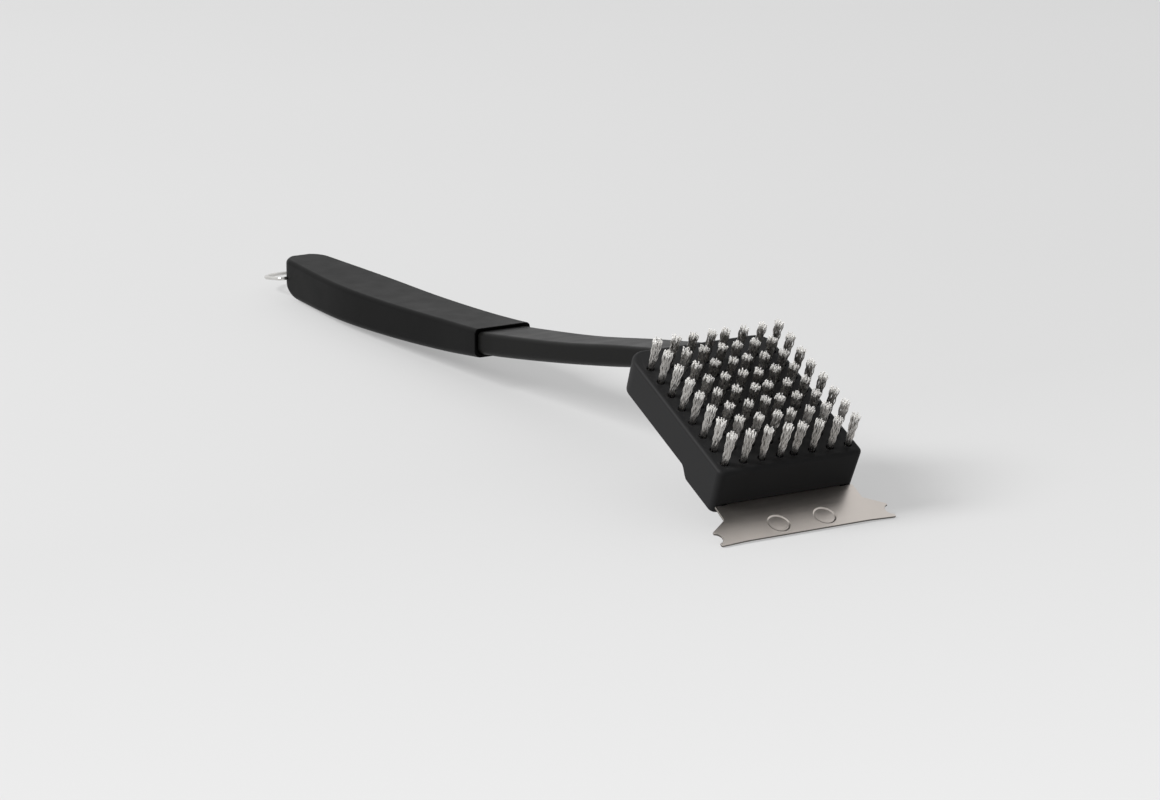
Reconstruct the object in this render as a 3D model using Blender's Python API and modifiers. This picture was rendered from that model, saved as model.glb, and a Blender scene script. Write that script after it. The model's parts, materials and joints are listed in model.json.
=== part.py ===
"""Grill cleaning brush with a scraper blade, an overmoulded handle and a wire hanging loop.

The brush lies on its back, bristles up. It touches the ground under the end of the
handle and at the two front corners of the scraper. World axes: +X towards the
scraper, +Y across the brush, +Z up, with the origin on the ground under the middle.

The head is modelled in its own frame, which an empty carries: x runs towards the
scraper along the head, y across it and z the way the bristles point, with the origin
in the middle of the bristle field on the head's upper face. Dimensions are in
millimetres and become metres where a mesh is made.
"""
import math

import bmesh
import bpy
from mathutils import Matrix, Vector

MM = 0.001
WELD = 0.000001                # merge distance, in metres
GAP = 0.3                      # clearance between pieces that touch

# Head, in the head frame
HEAD_TILT = math.radians(24.0)
HEAD_HALF_WIDTH = 34.2
HEAD_SIDE_DRAFT = 0.035        # the sides lean in by this much per mm of depth
HEAD_FRONT = 37.5
HEAD_REAR = -44.8
HEAD_REAR_DRAFT = 0.03
FRONT_CORNER = 3.0
REAR_CORNER = 8.0
TOP_EDGE_ROUND = 1.8
SIDE_WALL = 1.9
END_WALL = 2.6
BRISTLE_PLATE = 5.0            # thickness of the wall that carries the tufts
SKIRT_DEPTH = 16.3             # side walls behind the step
JAW_DEPTH = 20.5               # side walls in front of the step
STEP_START = 10.4
STEP_LENGTH = 5.6
STEP_POINTS = 5
CUT_MARGIN = 5.0               # how far a cutter passes the surface it opens

# Bristle field
ROWS = 8
COLUMNS = 8
ROW_PITCH = 9.1
COLUMN_PITCH = 8.7
CENTRE_PITCH = 6.6             # the two middle columns stand closer together
TUFT_HEIGHT = 15.0
TUFT_ROOT_RADIUS = 1.15
TUFT_TIP_RADIUS = 1.8
TUFT_HOLE_RADIUS = 1.6
TUFT_SIDES = 8
HOLE_MARGIN = 0.6
ANCHOR_TOP = -3.9              # the drawn wire that ties a row together behind the plate
ANCHOR_SIZE = 1.0
GROOVE_WIDTH = 1.8

# Scraper blade
BLADE_THICKNESS = 0.8
BLADE_TOP = -(SKIRT_DEPTH + 0.5)
BLADE_REACH = 22.5             # in front of the head
BLADE_DROOP = math.radians(2.1)
BLADE_SHOULDER = 32.8
BLADE_WAIST = (8.6, 33.0)      # bottom of the V notch: distance in front of the head, half width
BLADE_EAR = (14.2, 41.2)
BLADE_HALF_WIDTH = 41.6
BLADE_HOLLOW = (12.0, 0.7)     # the front edge draws back by the second within the first
BLADE_NOTCH_AT = 18.0
BLADE_NOTCH_RADIUS = 2.8
TANG_REAR = 20.0
TANG_HALF_WIDTH = 27.0
TANG_CHAMFER = 2.0
EDGE_CHAMFER = 0.5
DIMPLE_AT = (15.2, 10.9)
DIMPLE_RADIUS = 5.0
DIMPLE_FLANK = 0.9             # how much narrower a dimple is at its floor
DIMPLE_DEPTH = 0.5
DIMPLE_OVERLAP = 0.1

# Back cover and screws
COVER_INSET = 0.2              # the cover sits this much inside the edges around it
COVER_TOP = -13.5
COVER_BOTTOM = -(SKIRT_DEPTH - COVER_INSET)
COVER_HALF_WIDTH = 30.0
COVER_REAR = -41.4
COVER_CORNER = 4.0
COVER_RAMP = (0.8, 5.0)        # ramp up behind the tang, as distances from its end
CHEEK_INNER = COVER_HALF_WIDTH + GAP
POST_RADIUS = 3.4
POST_ROOT = 1.0                # how far a screw post runs into the bristle plate
SHANK_RADIUS = 1.4
PILOT_RADIUS = SHANK_RADIUS + GAP
CLEAR_RADIUS = PILOT_RADIUS + 0.1
SCREW_HEAD_RADIUS = 2.8
COUNTERBORE_RADIUS = SCREW_HEAD_RADIUS + GAP
TIP_ROOM = 0.4                 # free depth of a pilot hole past the screw's tip
ARM_SCREW_AT = (-3.0 * ROW_PITCH, 7.65)
COVER_SCREW_AT = (-2.0 * ROW_PITCH, 25.05)
BLADE_SCREW_AT = (3.0 * ROW_PITCH, 16.35)
ARM_PILOT_TOP = -2.0
COVER_PILOT_TOP = -7.0
BLADE_PILOT_TOP = -9.0
COVER_COUNTERBORE = 1.6        # depth
BLADE_COUNTERBORE = 1.5
COVER_HEAD_INSET = 0.1         # how deep a screw head lies under the face around it
BLADE_HEAD_INSET = 0.3
ARM_HEAD_HEIGHT = 1.8

# Handle: distance behind the bristle field's middle, height of the top, height of the
# bottom, half width. These describe the hard arm; the soft grip is GRIP_SKIN larger.
ARM_STATIONS = (
    (37.0, 58.3, 49.5, 12.0),
    (89.0, 48.4, 38.5, 11.9),
    (142.0, 38.1, 28.2, 12.0),
    (195.0, 29.7, 19.0, 12.4),
    (212.0, 27.4, 16.7, 12.8),
    (247.0, 24.5, 12.0, 12.5),
    (300.0, 21.0, 7.1, 13.5),
    (353.0, 18.9, 3.9, 13.9),
    (423.0, 17.8, 1.9, 9.4),
)
ARM_END = 421.0
ARM_TOP_CORNER = 2.2
ARM_BOTTOM_CORNER = 3.2
END_PLAN_ROUND = 9.2
END_TOP_ROUND = 0.9
END_BOTTOM_ROUND = 17.0
END_ROUND = max(END_PLAN_ROUND, END_BOTTOM_ROUND)
GRIP_SKIN = 1.5
GRIP_RIM = 210.5               # where the grip starts, behind the bristle field's middle
LEAN_START = 90.0              # from here the sections turn to meet the head squarely
ARM_JOINT_UP = -8.3            # middle of the arm where it meets the head, in the head frame
TONGUE_TOP = -6.6
TONGUE_BOTTOM = -10.0
TONGUE_HALF_WIDTH = 10.5
TONGUE_END = -20.0
CORNER_STEPS = 4

# Hanging loop
LOOP_HOLE = 413.6              # cross hole, behind the bristle field's middle
LOOP_HOLE_HEIGHT = 10.2
LOOP_HOLE_RADIUS = 1.3
LOOP_WIRE_RADIUS = 0.9
LOOP_HALF_WIDTH = 15.1
LOOP_LEG = 13.3
LOOP_BEND = 2.5
LOOP_PIN_END = 7.0
LOOP_DROOP = math.radians(9.6)


def head_reach(along, up):
    """World x of a head-frame point, from the middle of the bristle field."""
    return along * math.cos(HEAD_TILT) + up * math.sin(HEAD_TILT)


def head_rise(along, up):
    """World z of a head-frame point, from the middle of the bristle field."""
    return -along * math.sin(HEAD_TILT) + up * math.cos(HEAD_TILT)


BLADE_EDGE = HEAD_FRONT + GAP + (BLADE_REACH - GAP) * math.cos(BLADE_DROOP)
BLADE_EDGE_TOP = BLADE_TOP - (BLADE_REACH - GAP) * math.sin(BLADE_DROOP)
FRONT_REACH = head_reach(BLADE_EDGE, BLADE_EDGE_TOP)
LOOP_LENGTH = LOOP_LEG + LOOP_HALF_WIDTH
BACK_REACH = LOOP_HOLE + LOOP_LENGTH * math.cos(LOOP_DROOP) + LOOP_WIRE_RADIUS
HEAD_X = (BACK_REACH - FRONT_REACH) / 2
BLADE_HEEL = (BLADE_EDGE - BLADE_THICKNESS * math.sin(BLADE_DROOP),
              BLADE_EDGE_TOP - BLADE_THICKNESS * math.cos(BLADE_DROOP))
HEAD_Z = -head_rise(*BLADE_HEEL)


def clear_scene():
    for obj in list(bpy.data.objects):
        bpy.data.objects.remove(obj, do_unlink=True)


def make_collection(name):
    collection = bpy.data.collections.new(name)
    bpy.context.scene.collection.children.link(collection)
    return collection


def material(name, color, roughness, metallic=0.0):
    mat = bpy.data.materials.new(name)
    mat.use_nodes = True
    shader = mat.node_tree.nodes["Principled BSDF"]
    shader.inputs["Base Color"].default_value = (*color, 1.0)
    shader.inputs["Roughness"].default_value = roughness
    shader.inputs["Metallic"].default_value = metallic
    return mat


clear_scene()
PARTS = make_collection("grill_cleaning_brush")
CUTTERS = make_collection("cutters")
HEAD_FRAME = bpy.data.objects.new("head_frame", None)
HEAD_FRAME.location = (HEAD_X * MM, 0, HEAD_Z * MM)
HEAD_FRAME.rotation_euler = (0, HEAD_TILT, 0)
PARTS.objects.link(HEAD_FRAME)
BLACK_PLASTIC = material("black_plastic", (0.035, 0.035, 0.036), 0.5)
SOFT_GRIP = material("soft_grip", (0.03, 0.03, 0.03), 0.75)
STEEL = material("satin_steel", (0.62, 0.60, 0.59), 0.32, 1.0)
WIRE = material("bristle_wire", (0.72, 0.70, 0.68), 0.25, 1.0)
SCREW_STEEL = material("screw_steel", (0.5, 0.5, 0.5), 0.35, 1.0)


def add_object(name, data, mat=None, parent=None, collection=None):
    obj = bpy.data.objects.new(name, data)
    (collection or PARTS).objects.link(obj)
    obj.parent = parent
    if mat:
        data.materials.append(mat)
    return obj


def finish_mesh(bm, name):
    """Weld, face outwards and turn a bmesh into a mesh."""
    bmesh.ops.remove_doubles(bm, verts=bm.verts, dist=WELD)
    bmesh.ops.recalc_face_normals(bm, faces=bm.faces)
    mesh = bpy.data.meshes.new(name)
    bm.to_mesh(mesh)
    bm.free()
    mesh.shade_smooth()
    mesh.set_sharp_from_angle(angle=math.radians(35))
    return mesh


def loft(name, rings):
    """Skin closed rings of equal length, given in mm, and cap both ends."""
    bm = bmesh.new()
    loops = [[bm.verts.new(Vector(point) * MM) for point in ring] for ring in rings]
    for lower, upper in zip(loops, loops[1:]):
        for i in range(len(lower)):
            j = (i + 1) % len(lower)
            bm.faces.new((lower[i], lower[j], upper[j], upper[i]))
    bm.faces.new(loops[0])
    bm.faces.new(loops[-1])
    return finish_mesh(bm, name)


def cylinder_into(bm, radius, low, high, at, sides=12, axis="Z"):
    turn = {"Z": Matrix(), "Y": Matrix.Rotation(math.pi / 2, 4, "X")}[axis]
    middle = Vector((at[0], at[1], (low + high) / 2)) if axis == "Z" else Vector((at[0], 0, at[1]))
    bmesh.ops.create_cone(bm, cap_ends=True, segments=sides, radius1=radius * MM,
                          radius2=radius * MM, depth=(high - low) * MM,
                          matrix=Matrix.Translation(middle * MM) @ turn)


def box_into(bm, low, high):
    size = Vector(high) - Vector(low)
    middle = (Vector(high) + Vector(low)) / 2
    bmesh.ops.create_cube(bm, size=1, matrix=Matrix.Translation(middle * MM)
                          @ Matrix.Diagonal((*(size * MM), 1)))


def extrusion(name, outline, half_width):
    """Prism across the head from an outline of (along, up) points in the head frame."""
    bm = bmesh.new()
    near = [bm.verts.new(Vector((x, -half_width, z)) * MM) for x, z in outline]
    face = bm.faces.new(near)
    grown = bmesh.ops.extrude_face_region(bm, geom=[face])
    moved = [v for v in grown["geom"] if isinstance(v, bmesh.types.BMVert)]
    bmesh.ops.translate(bm, verts=moved, vec=(0, 2 * half_width * MM, 0))
    return finish_mesh(bm, name)


def cutter(name, mesh, parent=HEAD_FRAME):
    obj = add_object(name, mesh, parent=parent, collection=CUTTERS)
    obj.hide_render = True
    obj.display_type = "WIRE"
    return obj


def boolean(obj, other, operation="DIFFERENCE"):
    modifier = obj.modifiers.new(other.name, "BOOLEAN")
    modifier.operation = operation
    modifier.object = other
    modifier.solver = "EXACT"


def both_sides(place):
    return ((place[0], place[1]), (place[0], -place[1]))


def arc(centre, radius, start, stop, steps):
    """Points of an arc, angles in degrees."""
    angles = [math.radians(start + (stop - start) * i / steps) for i in range(steps + 1)]
    return [(centre[0] + radius * math.cos(a), centre[1] + radius * math.sin(a)) for a in angles]


def step_curve(offset=0.0):
    """Underside step between the skirt and the deeper jaw, as (along, up) points."""
    points = []
    for i in range(STEP_POINTS + 1):
        t = i / STEP_POINTS
        drop = (1 - math.cos(math.pi * t)) / 2
        points.append((STEP_START + offset + STEP_LENGTH * t,
                       -SKIRT_DEPTH - (JAW_DEPTH - SKIRT_DEPTH) * drop))
    return points


# ---------------------------------------------------------------- head

def plan_ring(up, inset):
    """Outline of the head at a height, as a rounded rectangle with softer rear corners."""
    depth = -up
    half_width = HEAD_HALF_WIDTH - HEAD_SIDE_DRAFT * depth - inset[1]
    front = HEAD_FRONT - inset[0]
    rear = HEAD_REAR + HEAD_REAR_DRAFT * depth + inset[0]
    front_radius = max(FRONT_CORNER - inset[0], 0.6)
    rear_radius = REAR_CORNER - inset[0]
    points = []
    for centre_x, centre_y, radius, start in (
            (front - front_radius, half_width - front_radius, front_radius, 0),
            (rear + rear_radius, half_width - rear_radius, rear_radius, 90),
            (rear + rear_radius, rear_radius - half_width, rear_radius, 180),
            (front - front_radius, front_radius - half_width, front_radius, 270)):
        points += arc((centre_x, centre_y), radius, start, start + 90, CORNER_STEPS)
    return [(x, y, up) for x, y in points]


def column_positions():
    half = COLUMNS // 2
    right = [CENTRE_PITCH / 2 + COLUMN_PITCH * i for i in range(half)]
    return [-y for y in reversed(right)] + right


def row_positions():
    return [(i - (ROWS - 1) / 2) * ROW_PITCH for i in range(ROWS)]


def make_brush_head():
    wall = (END_WALL, SIDE_WALL)
    rings = [plan_ring(-BRISTLE_PLATE, wall), plan_ring(-JAW_DEPTH, wall),
             plan_ring(-JAW_DEPTH, (0, 0)), plan_ring(-TOP_EDGE_ROUND, (0, 0))]
    for angle in (30, 60, 90):
        a = math.radians(angle)
        inset = TOP_EDGE_ROUND * (1 - math.cos(a))
        rings.append(plan_ring(TOP_EDGE_ROUND * (math.sin(a) - 1), (inset, inset)))
    head = add_object("brush_head", loft("brush_head", rings), BLACK_PLASTIC, HEAD_FRAME)

    bm = bmesh.new()
    for place in both_sides(COVER_SCREW_AT):
        cylinder_into(bm, POST_RADIUS, COVER_TOP + GAP, POST_ROOT - BRISTLE_PLATE, place)
    for place in both_sides(BLADE_SCREW_AT):
        cylinder_into(bm, POST_RADIUS, BLADE_TOP + GAP, POST_ROOT - BRISTLE_PLATE, place)
    for place in both_sides(ARM_SCREW_AT):
        cylinder_into(bm, POST_RADIUS, TONGUE_TOP + GAP, POST_ROOT - BRISTLE_PLATE, place)
    boolean(head, cutter("head_posts", finish_mesh(bm, "head_posts")), "UNION")

    below = -JAW_DEPTH - CUT_MARGIN
    behind = HEAD_REAR - CUT_MARGIN
    outline = [(behind, below), (behind, -SKIRT_DEPTH)] + step_curve()
    outline.append((STEP_START + STEP_LENGTH, below))
    boolean(head, cutter("skirt_cut", extrusion("skirt_cut", outline, HEAD_HALF_WIDTH + CUT_MARGIN)))

    bm = bmesh.new()
    box_into(bm, (HEAD_FRONT - END_WALL - CUT_MARGIN / 2, -CHEEK_INNER, below),
             (HEAD_FRONT + CUT_MARGIN, CHEEK_INNER, BLADE_TOP + GAP))
    box_into(bm, (behind, -TONGUE_HALF_WIDTH - GAP, TONGUE_BOTTOM - GAP),
             (HEAD_REAR + END_WALL + CUT_MARGIN / 2, TONGUE_HALF_WIDTH + GAP, TONGUE_TOP + GAP))
    boolean(head, cutter("mouth_and_socket", finish_mesh(bm, "mouth_and_socket")))

    bm = bmesh.new()
    for x in row_positions():
        for y in column_positions():
            cylinder_into(bm, TUFT_HOLE_RADIUS, -BRISTLE_PLATE - 2 * HOLE_MARGIN, HOLE_MARGIN, (x, y),
                          TUFT_SIDES)
    boolean(head, cutter("tuft_holes", finish_mesh(bm, "tuft_holes")))

    bm = bmesh.new()
    reach = column_positions()[-1] + TUFT_HOLE_RADIUS - 0.1
    for x in row_positions():
        box_into(bm, (x - GROOVE_WIDTH / 2, -reach, -BRISTLE_PLATE - HOLE_MARGIN),
                 (x + GROOVE_WIDTH / 2, reach, ANCHOR_TOP + GAP))
    boolean(head, cutter("anchor_grooves", finish_mesh(bm, "anchor_grooves")))

    bm = bmesh.new()
    for place in both_sides(COVER_SCREW_AT):
        cylinder_into(bm, PILOT_RADIUS, COVER_TOP - HOLE_MARGIN, COVER_PILOT_TOP, place)
    for place in both_sides(BLADE_SCREW_AT):
        cylinder_into(bm, PILOT_RADIUS, BLADE_TOP - HOLE_MARGIN, BLADE_PILOT_TOP, place)
    for place in both_sides(ARM_SCREW_AT):
        cylinder_into(bm, PILOT_RADIUS, TONGUE_TOP - HOLE_MARGIN, ARM_PILOT_TOP, place)
    boolean(head, cutter("pilot_holes", finish_mesh(bm, "pilot_holes")))


def make_back_cover():
    step_back = step_curve(-GAP)
    outline = [(COVER_REAR, COVER_TOP), (COVER_REAR, COVER_BOTTOM)]
    outline += [(x, z + COVER_INSET) for x, z in step_back]
    under_tang = BLADE_TOP - BLADE_THICKNESS - GAP
    outline += [(HEAD_FRONT - COVER_INSET, COVER_INSET - JAW_DEPTH),
                (HEAD_FRONT - COVER_INSET, under_tang),
                (TANG_REAR - COVER_RAMP[0], under_tang),
                (TANG_REAR - COVER_RAMP[1], COVER_TOP)]
    mesh = extrusion("back_cover", outline, COVER_HALF_WIDTH)
    bm = bmesh.new()
    bm.from_mesh(mesh)
    corners = [edge for edge in bm.edges
               if all(abs(v.co.x - COVER_REAR * MM) < WELD for v in edge.verts)
               and abs(edge.verts[0].co.y - edge.verts[1].co.y) < WELD]
    bmesh.ops.bevel(bm, geom=corners, offset=COVER_CORNER * MM, segments=3, affect="EDGES",
                    profile=0.5)
    bm.to_mesh(mesh)
    bm.free()
    cover = add_object("back_cover", mesh, BLACK_PLASTIC, HEAD_FRAME)

    bm = bmesh.new()
    for place in both_sides(COVER_SCREW_AT):
        cylinder_into(bm, PILOT_RADIUS, COVER_BOTTOM - HOLE_MARGIN, COVER_TOP + HOLE_MARGIN, place)
    for place in both_sides(BLADE_SCREW_AT):
        cylinder_into(bm, PILOT_RADIUS, -JAW_DEPTH - HOLE_MARGIN, BLADE_TOP, place)
    boolean(cover, cutter("cover_holes", finish_mesh(bm, "cover_holes")))

    bm = bmesh.new()
    for place in both_sides(COVER_SCREW_AT):
        cylinder_into(bm, COUNTERBORE_RADIUS, COVER_BOTTOM - HOLE_MARGIN,
                      COVER_BOTTOM + COVER_COUNTERBORE, place)
    for place in both_sides(BLADE_SCREW_AT):
        cylinder_into(bm, COUNTERBORE_RADIUS, -JAW_DEPTH - HOLE_MARGIN,
                      BLADE_COUNTERBORE - JAW_DEPTH, place)
    boolean(cover, cutter("cover_counterbores", finish_mesh(bm, "cover_counterbores")))


def make_tuft_row(number, along):
    """Eight wire tufts drawn onto one anchor wire behind the bristle plate."""
    bm = bmesh.new()
    foot = ANCHOR_TOP - ANCHOR_SIZE / 2
    for y in column_positions():
        height = TUFT_HEIGHT - foot
        place = Vector((along, y, foot + height / 2)) * MM
        bmesh.ops.create_cone(bm, cap_ends=True, segments=TUFT_SIDES,
                              radius1=TUFT_ROOT_RADIUS * MM, radius2=TUFT_TIP_RADIUS * MM,
                              depth=height * MM, matrix=Matrix.Translation(place))
    tufts = cutter("tufts_%d" % number, finish_mesh(bm, "tufts_%d" % number))
    bm = bmesh.new()
    reach = column_positions()[-1] + 1.0
    box_into(bm, (along - ANCHOR_SIZE / 2, -reach, ANCHOR_TOP - ANCHOR_SIZE),
             (along + ANCHOR_SIZE / 2, reach, ANCHOR_TOP))
    name = "tuft_row_%d" % number
    row = add_object(name, finish_mesh(bm, name), WIRE, HEAD_FRAME)
    boolean(row, tufts, "UNION")


# ---------------------------------------------------------------- scraper

def blade_outline():
    """Blade outline seen from above, as (along, across) points, counter-clockwise."""
    front = HEAD_FRONT
    shoulder = front + GAP
    notch = arc((front + BLADE_NOTCH_AT, BLADE_HALF_WIDTH), BLADE_NOTCH_RADIUS, -175, -5, 6)
    half = [(TANG_REAR, TANG_HALF_WIDTH - TANG_CHAMFER),
            (TANG_REAR + TANG_CHAMFER, TANG_HALF_WIDTH),
            (shoulder, TANG_HALF_WIDTH), (shoulder, BLADE_SHOULDER),
            (front + BLADE_WAIST[0], BLADE_WAIST[1]), (front + BLADE_EAR[0], BLADE_EAR[1])]
    half += notch
    edge = front + BLADE_REACH
    half += [(edge - EDGE_CHAMFER, BLADE_HALF_WIDTH), (edge, BLADE_HALF_WIDTH - EDGE_CHAMFER),
             (edge - BLADE_HOLLOW[1], BLADE_HALF_WIDTH - EDGE_CHAMFER - BLADE_HOLLOW[0])]
    return half + [(x, -y) for x, y in reversed(half)]


def make_scraper_blade():
    curve = bpy.data.curves.new("blade_outline", "CURVE")
    curve.dimensions = "2D"
    curve.fill_mode = "BOTH"
    curve.extrude = BLADE_THICKNESS / 2 * MM
    points = blade_outline()
    spline = curve.splines.new("POLY")
    spline.points.add(len(points) - 1)
    for point, (x, y) in zip(spline.points, points):
        point.co = (x * MM, y * MM, 0, 1)
    spline.use_cyclic_u = True
    flat = add_object("blade_outline", curve)
    evaluated = flat.evaluated_get(bpy.context.evaluated_depsgraph_get())
    mesh = bpy.data.meshes.new_from_object(evaluated)
    bpy.data.objects.remove(flat, do_unlink=True)

    bm = bmesh.new()
    bm.from_mesh(mesh)
    bmesh.ops.remove_doubles(bm, verts=bm.verts, dist=WELD)
    bmesh.ops.dissolve_limit(bm, angle_limit=0.001, verts=bm.verts, edges=bm.edges)
    bend = (HEAD_FRONT + GAP) * MM
    bmesh.ops.bisect_plane(bm, geom=bm.verts[:] + bm.edges[:] + bm.faces[:], dist=WELD,
                           plane_co=(bend, 0, 0), plane_no=(1, 0, 0))
    turn = Matrix.Rotation(BLADE_DROOP, 4, "Y")
    pivot = Vector((bend, 0, BLADE_THICKNESS / 2 * MM))
    for vert in bm.verts:
        if vert.co.x > bend + WELD:
            vert.co = pivot + turn @ (vert.co - pivot)
    bm.to_mesh(mesh)
    bm.free()
    mesh.materials.clear()
    blade = add_object("scraper_blade", mesh, STEEL, HEAD_FRAME)
    blade.location.z = (BLADE_TOP - BLADE_THICKNESS / 2) * MM

    slope = Matrix.Translation(pivot + Vector((0, 0, blade.location.z))) @ turn
    for name, top, operation in (("dimple_back", -BLADE_THICKNESS, "UNION"),
                                 ("dimple", 0.0, "DIFFERENCE")):
        bm = bmesh.new()
        for side in (1, -1):
            place = Vector((DIMPLE_AT[0] - GAP, side * DIMPLE_AT[1],
                            top - (DIMPLE_DEPTH - DIMPLE_OVERLAP) / 2)) * MM
            bmesh.ops.create_cone(bm, cap_ends=True, segments=16,
                                  radius1=(DIMPLE_RADIUS - DIMPLE_FLANK) * MM,
                                  radius2=DIMPLE_RADIUS * MM,
                                  depth=(DIMPLE_DEPTH + DIMPLE_OVERLAP) * MM,
                                  matrix=slope @ Matrix.Translation(place))
        boolean(blade, cutter(name, finish_mesh(bm, name)), operation)

    bm = bmesh.new()
    for place in both_sides(BLADE_SCREW_AT):
        cylinder_into(bm, CLEAR_RADIUS, BLADE_TOP - BLADE_THICKNESS - HOLE_MARGIN,
                      BLADE_TOP + HOLE_MARGIN, place)
    boolean(blade, cutter("blade_holes", finish_mesh(bm, "blade_holes")))


# ---------------------------------------------------------------- screws

def make_screw(name, place, head_low, head_high, tip):
    """A pan-head screw driven upwards in the head frame, turned about its own axis."""
    profile = ((0, tip), (SHANK_RADIUS, tip), (SHANK_RADIUS, head_high),
               (SCREW_HEAD_RADIUS, head_high), (SCREW_HEAD_RADIUS, head_low), (0, head_low))
    mesh = bpy.data.meshes.new(name)
    points = [(x * MM, 0, z * MM) for x, z in profile]
    mesh.from_pydata(points, [(i, i + 1) for i in range(len(points) - 1)], [])
    screw = add_object(name, mesh, SCREW_STEEL, HEAD_FRAME)
    screw.location = (place[0] * MM, place[1] * MM, 0)
    modifier = screw.modifiers.new("turn", "SCREW")
    modifier.axis = "Z"
    modifier.steps = 12
    modifier.render_steps = 12
    modifier.use_merge_vertices = True
    modifier.merge_threshold = 0.00001


def make_screws():
    for side, word in ((1, "right"), (-1, "left")):
        make_screw("cover_screw_" + word, (COVER_SCREW_AT[0], side * COVER_SCREW_AT[1]),
                   COVER_BOTTOM + COVER_HEAD_INSET, COVER_BOTTOM + COVER_COUNTERBORE - GAP,
                   COVER_PILOT_TOP - TIP_ROOM)
        make_screw("scraper_screw_" + word, (BLADE_SCREW_AT[0], side * BLADE_SCREW_AT[1]),
                   BLADE_HEAD_INSET - JAW_DEPTH, BLADE_COUNTERBORE - GAP - JAW_DEPTH,
                   BLADE_PILOT_TOP - TIP_ROOM)
        make_screw("arm_screw_" + word, (ARM_SCREW_AT[0], side * ARM_SCREW_AT[1]),
                   TONGUE_BOTTOM - GAP - ARM_HEAD_HEIGHT, TONGUE_BOTTOM - GAP,
                   ARM_PILOT_TOP - TIP_ROOM)


# ---------------------------------------------------------------- handle

def station_value(behind, column):
    """Smooth value between the arm's stations (a Catmull-Rom curve)."""
    rows = ARM_STATIONS
    i = 0
    while i < len(rows) - 2 and behind > rows[i + 1][0]:
        i += 1
    x0, y0, x1, y1 = rows[i][0], rows[i][column], rows[i + 1][0], rows[i + 1][column]

    def slope(k):
        low, high = max(k - 1, 0), min(k + 1, len(rows) - 1)
        return (rows[high][column] - rows[low][column]) / (rows[high][0] - rows[low][0])
    span = x1 - x0
    t = (behind - x0) / span
    return ((2 * t ** 3 - 3 * t ** 2 + 1) * y0 + (t ** 3 - 2 * t ** 2 + t) * span * slope(i)
            + (3 * t ** 2 - 2 * t ** 3) * y1 + (t ** 3 - t ** 2) * span * slope(i + 1))


def rounding(distance, radius):
    """How far a quarter-round end draws in at a distance from its tip."""
    if distance >= radius:
        return 0.0
    return radius - math.sqrt(radius ** 2 - (radius - max(distance, 0)) ** 2)


def arm_ring(behind, offset=0.0, lean=0.0):
    """Cross-section of the arm, or of a skin around it, as a rounded rectangle."""
    from_end = ARM_END + offset - behind
    top = station_value(behind, 1) + offset - rounding(from_end, END_TOP_ROUND + offset)
    bottom = station_value(behind, 2) - offset + rounding(from_end, END_BOTTOM_ROUND + offset)
    half = station_value(behind, 3) + offset - rounding(from_end, END_PLAN_ROUND + offset)
    room = min((top - bottom) / 2.2, half * 0.95)
    top_radius = min(ARM_TOP_CORNER, room)
    bottom_radius = min(ARM_BOTTOM_CORNER, room)
    points = []
    for centre_y, centre_z, radius, start in (
            (half - top_radius, top - top_radius, top_radius, 0),
            (top_radius - half, top - top_radius, top_radius, 90),
            (bottom_radius - half, bottom + bottom_radius, bottom_radius, 180),
            (half - bottom_radius, bottom + bottom_radius, bottom_radius, 270)):
        points += arc((centre_y, centre_z), radius, start, start + 90, CORNER_STEPS)
    middle = (top + bottom) / 2
    return [(HEAD_X - behind + (z - middle) * math.tan(lean), y, z) for y, z in points]


def end_stations(offset, steps):
    """Stations round the closed end, tip first, spaced evenly along its quarter circle."""
    radius = END_ROUND + offset
    angles = [math.radians(4 + 86 * i / steps) for i in range(steps + 1)]
    return [ARM_END + offset - radius * (1 - math.cos(a)) for a in angles]


def run_stations(start, stop, pitch):
    steps = max(1, round(abs(stop - start) / pitch))
    return [start + (stop - start) * i / steps for i in range(1, steps + 1)]


def tongue_ring(along, top, bottom, half_width):
    """Rectangle in the head frame, with as many points as an arm section."""
    points = []
    for side_y, up in ((half_width, top), (-half_width, top),
                       (-half_width, bottom), (half_width, bottom)):
        inward_y = -math.copysign(1.0, side_y)
        inward_z = -1.0 if up == top else 1.0
        first, last = ((side_y, up + inward_z), (side_y + inward_y, up))
        if side_y * (up - (top + bottom) / 2) < 0:
            first, last = last, first
        for i in range(CORNER_STEPS + 1):
            t = i / CORNER_STEPS
            points.append((first[0] + (last[0] - first[0]) * t,
                           first[1] + (last[1] - first[1]) * t))
    return [(HEAD_X + head_reach(along, z), y, HEAD_Z + head_rise(along, z))
            for y, z in points]


def loop_hole_cutter(name):
    bm = bmesh.new()
    cylinder_into(bm, LOOP_HOLE_RADIUS, -30, 30, (HEAD_X - LOOP_HOLE, LOOP_HOLE_HEIGHT),
                  sides=16, axis="Y")
    return cutter(name, finish_mesh(bm, name), parent=None)


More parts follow.
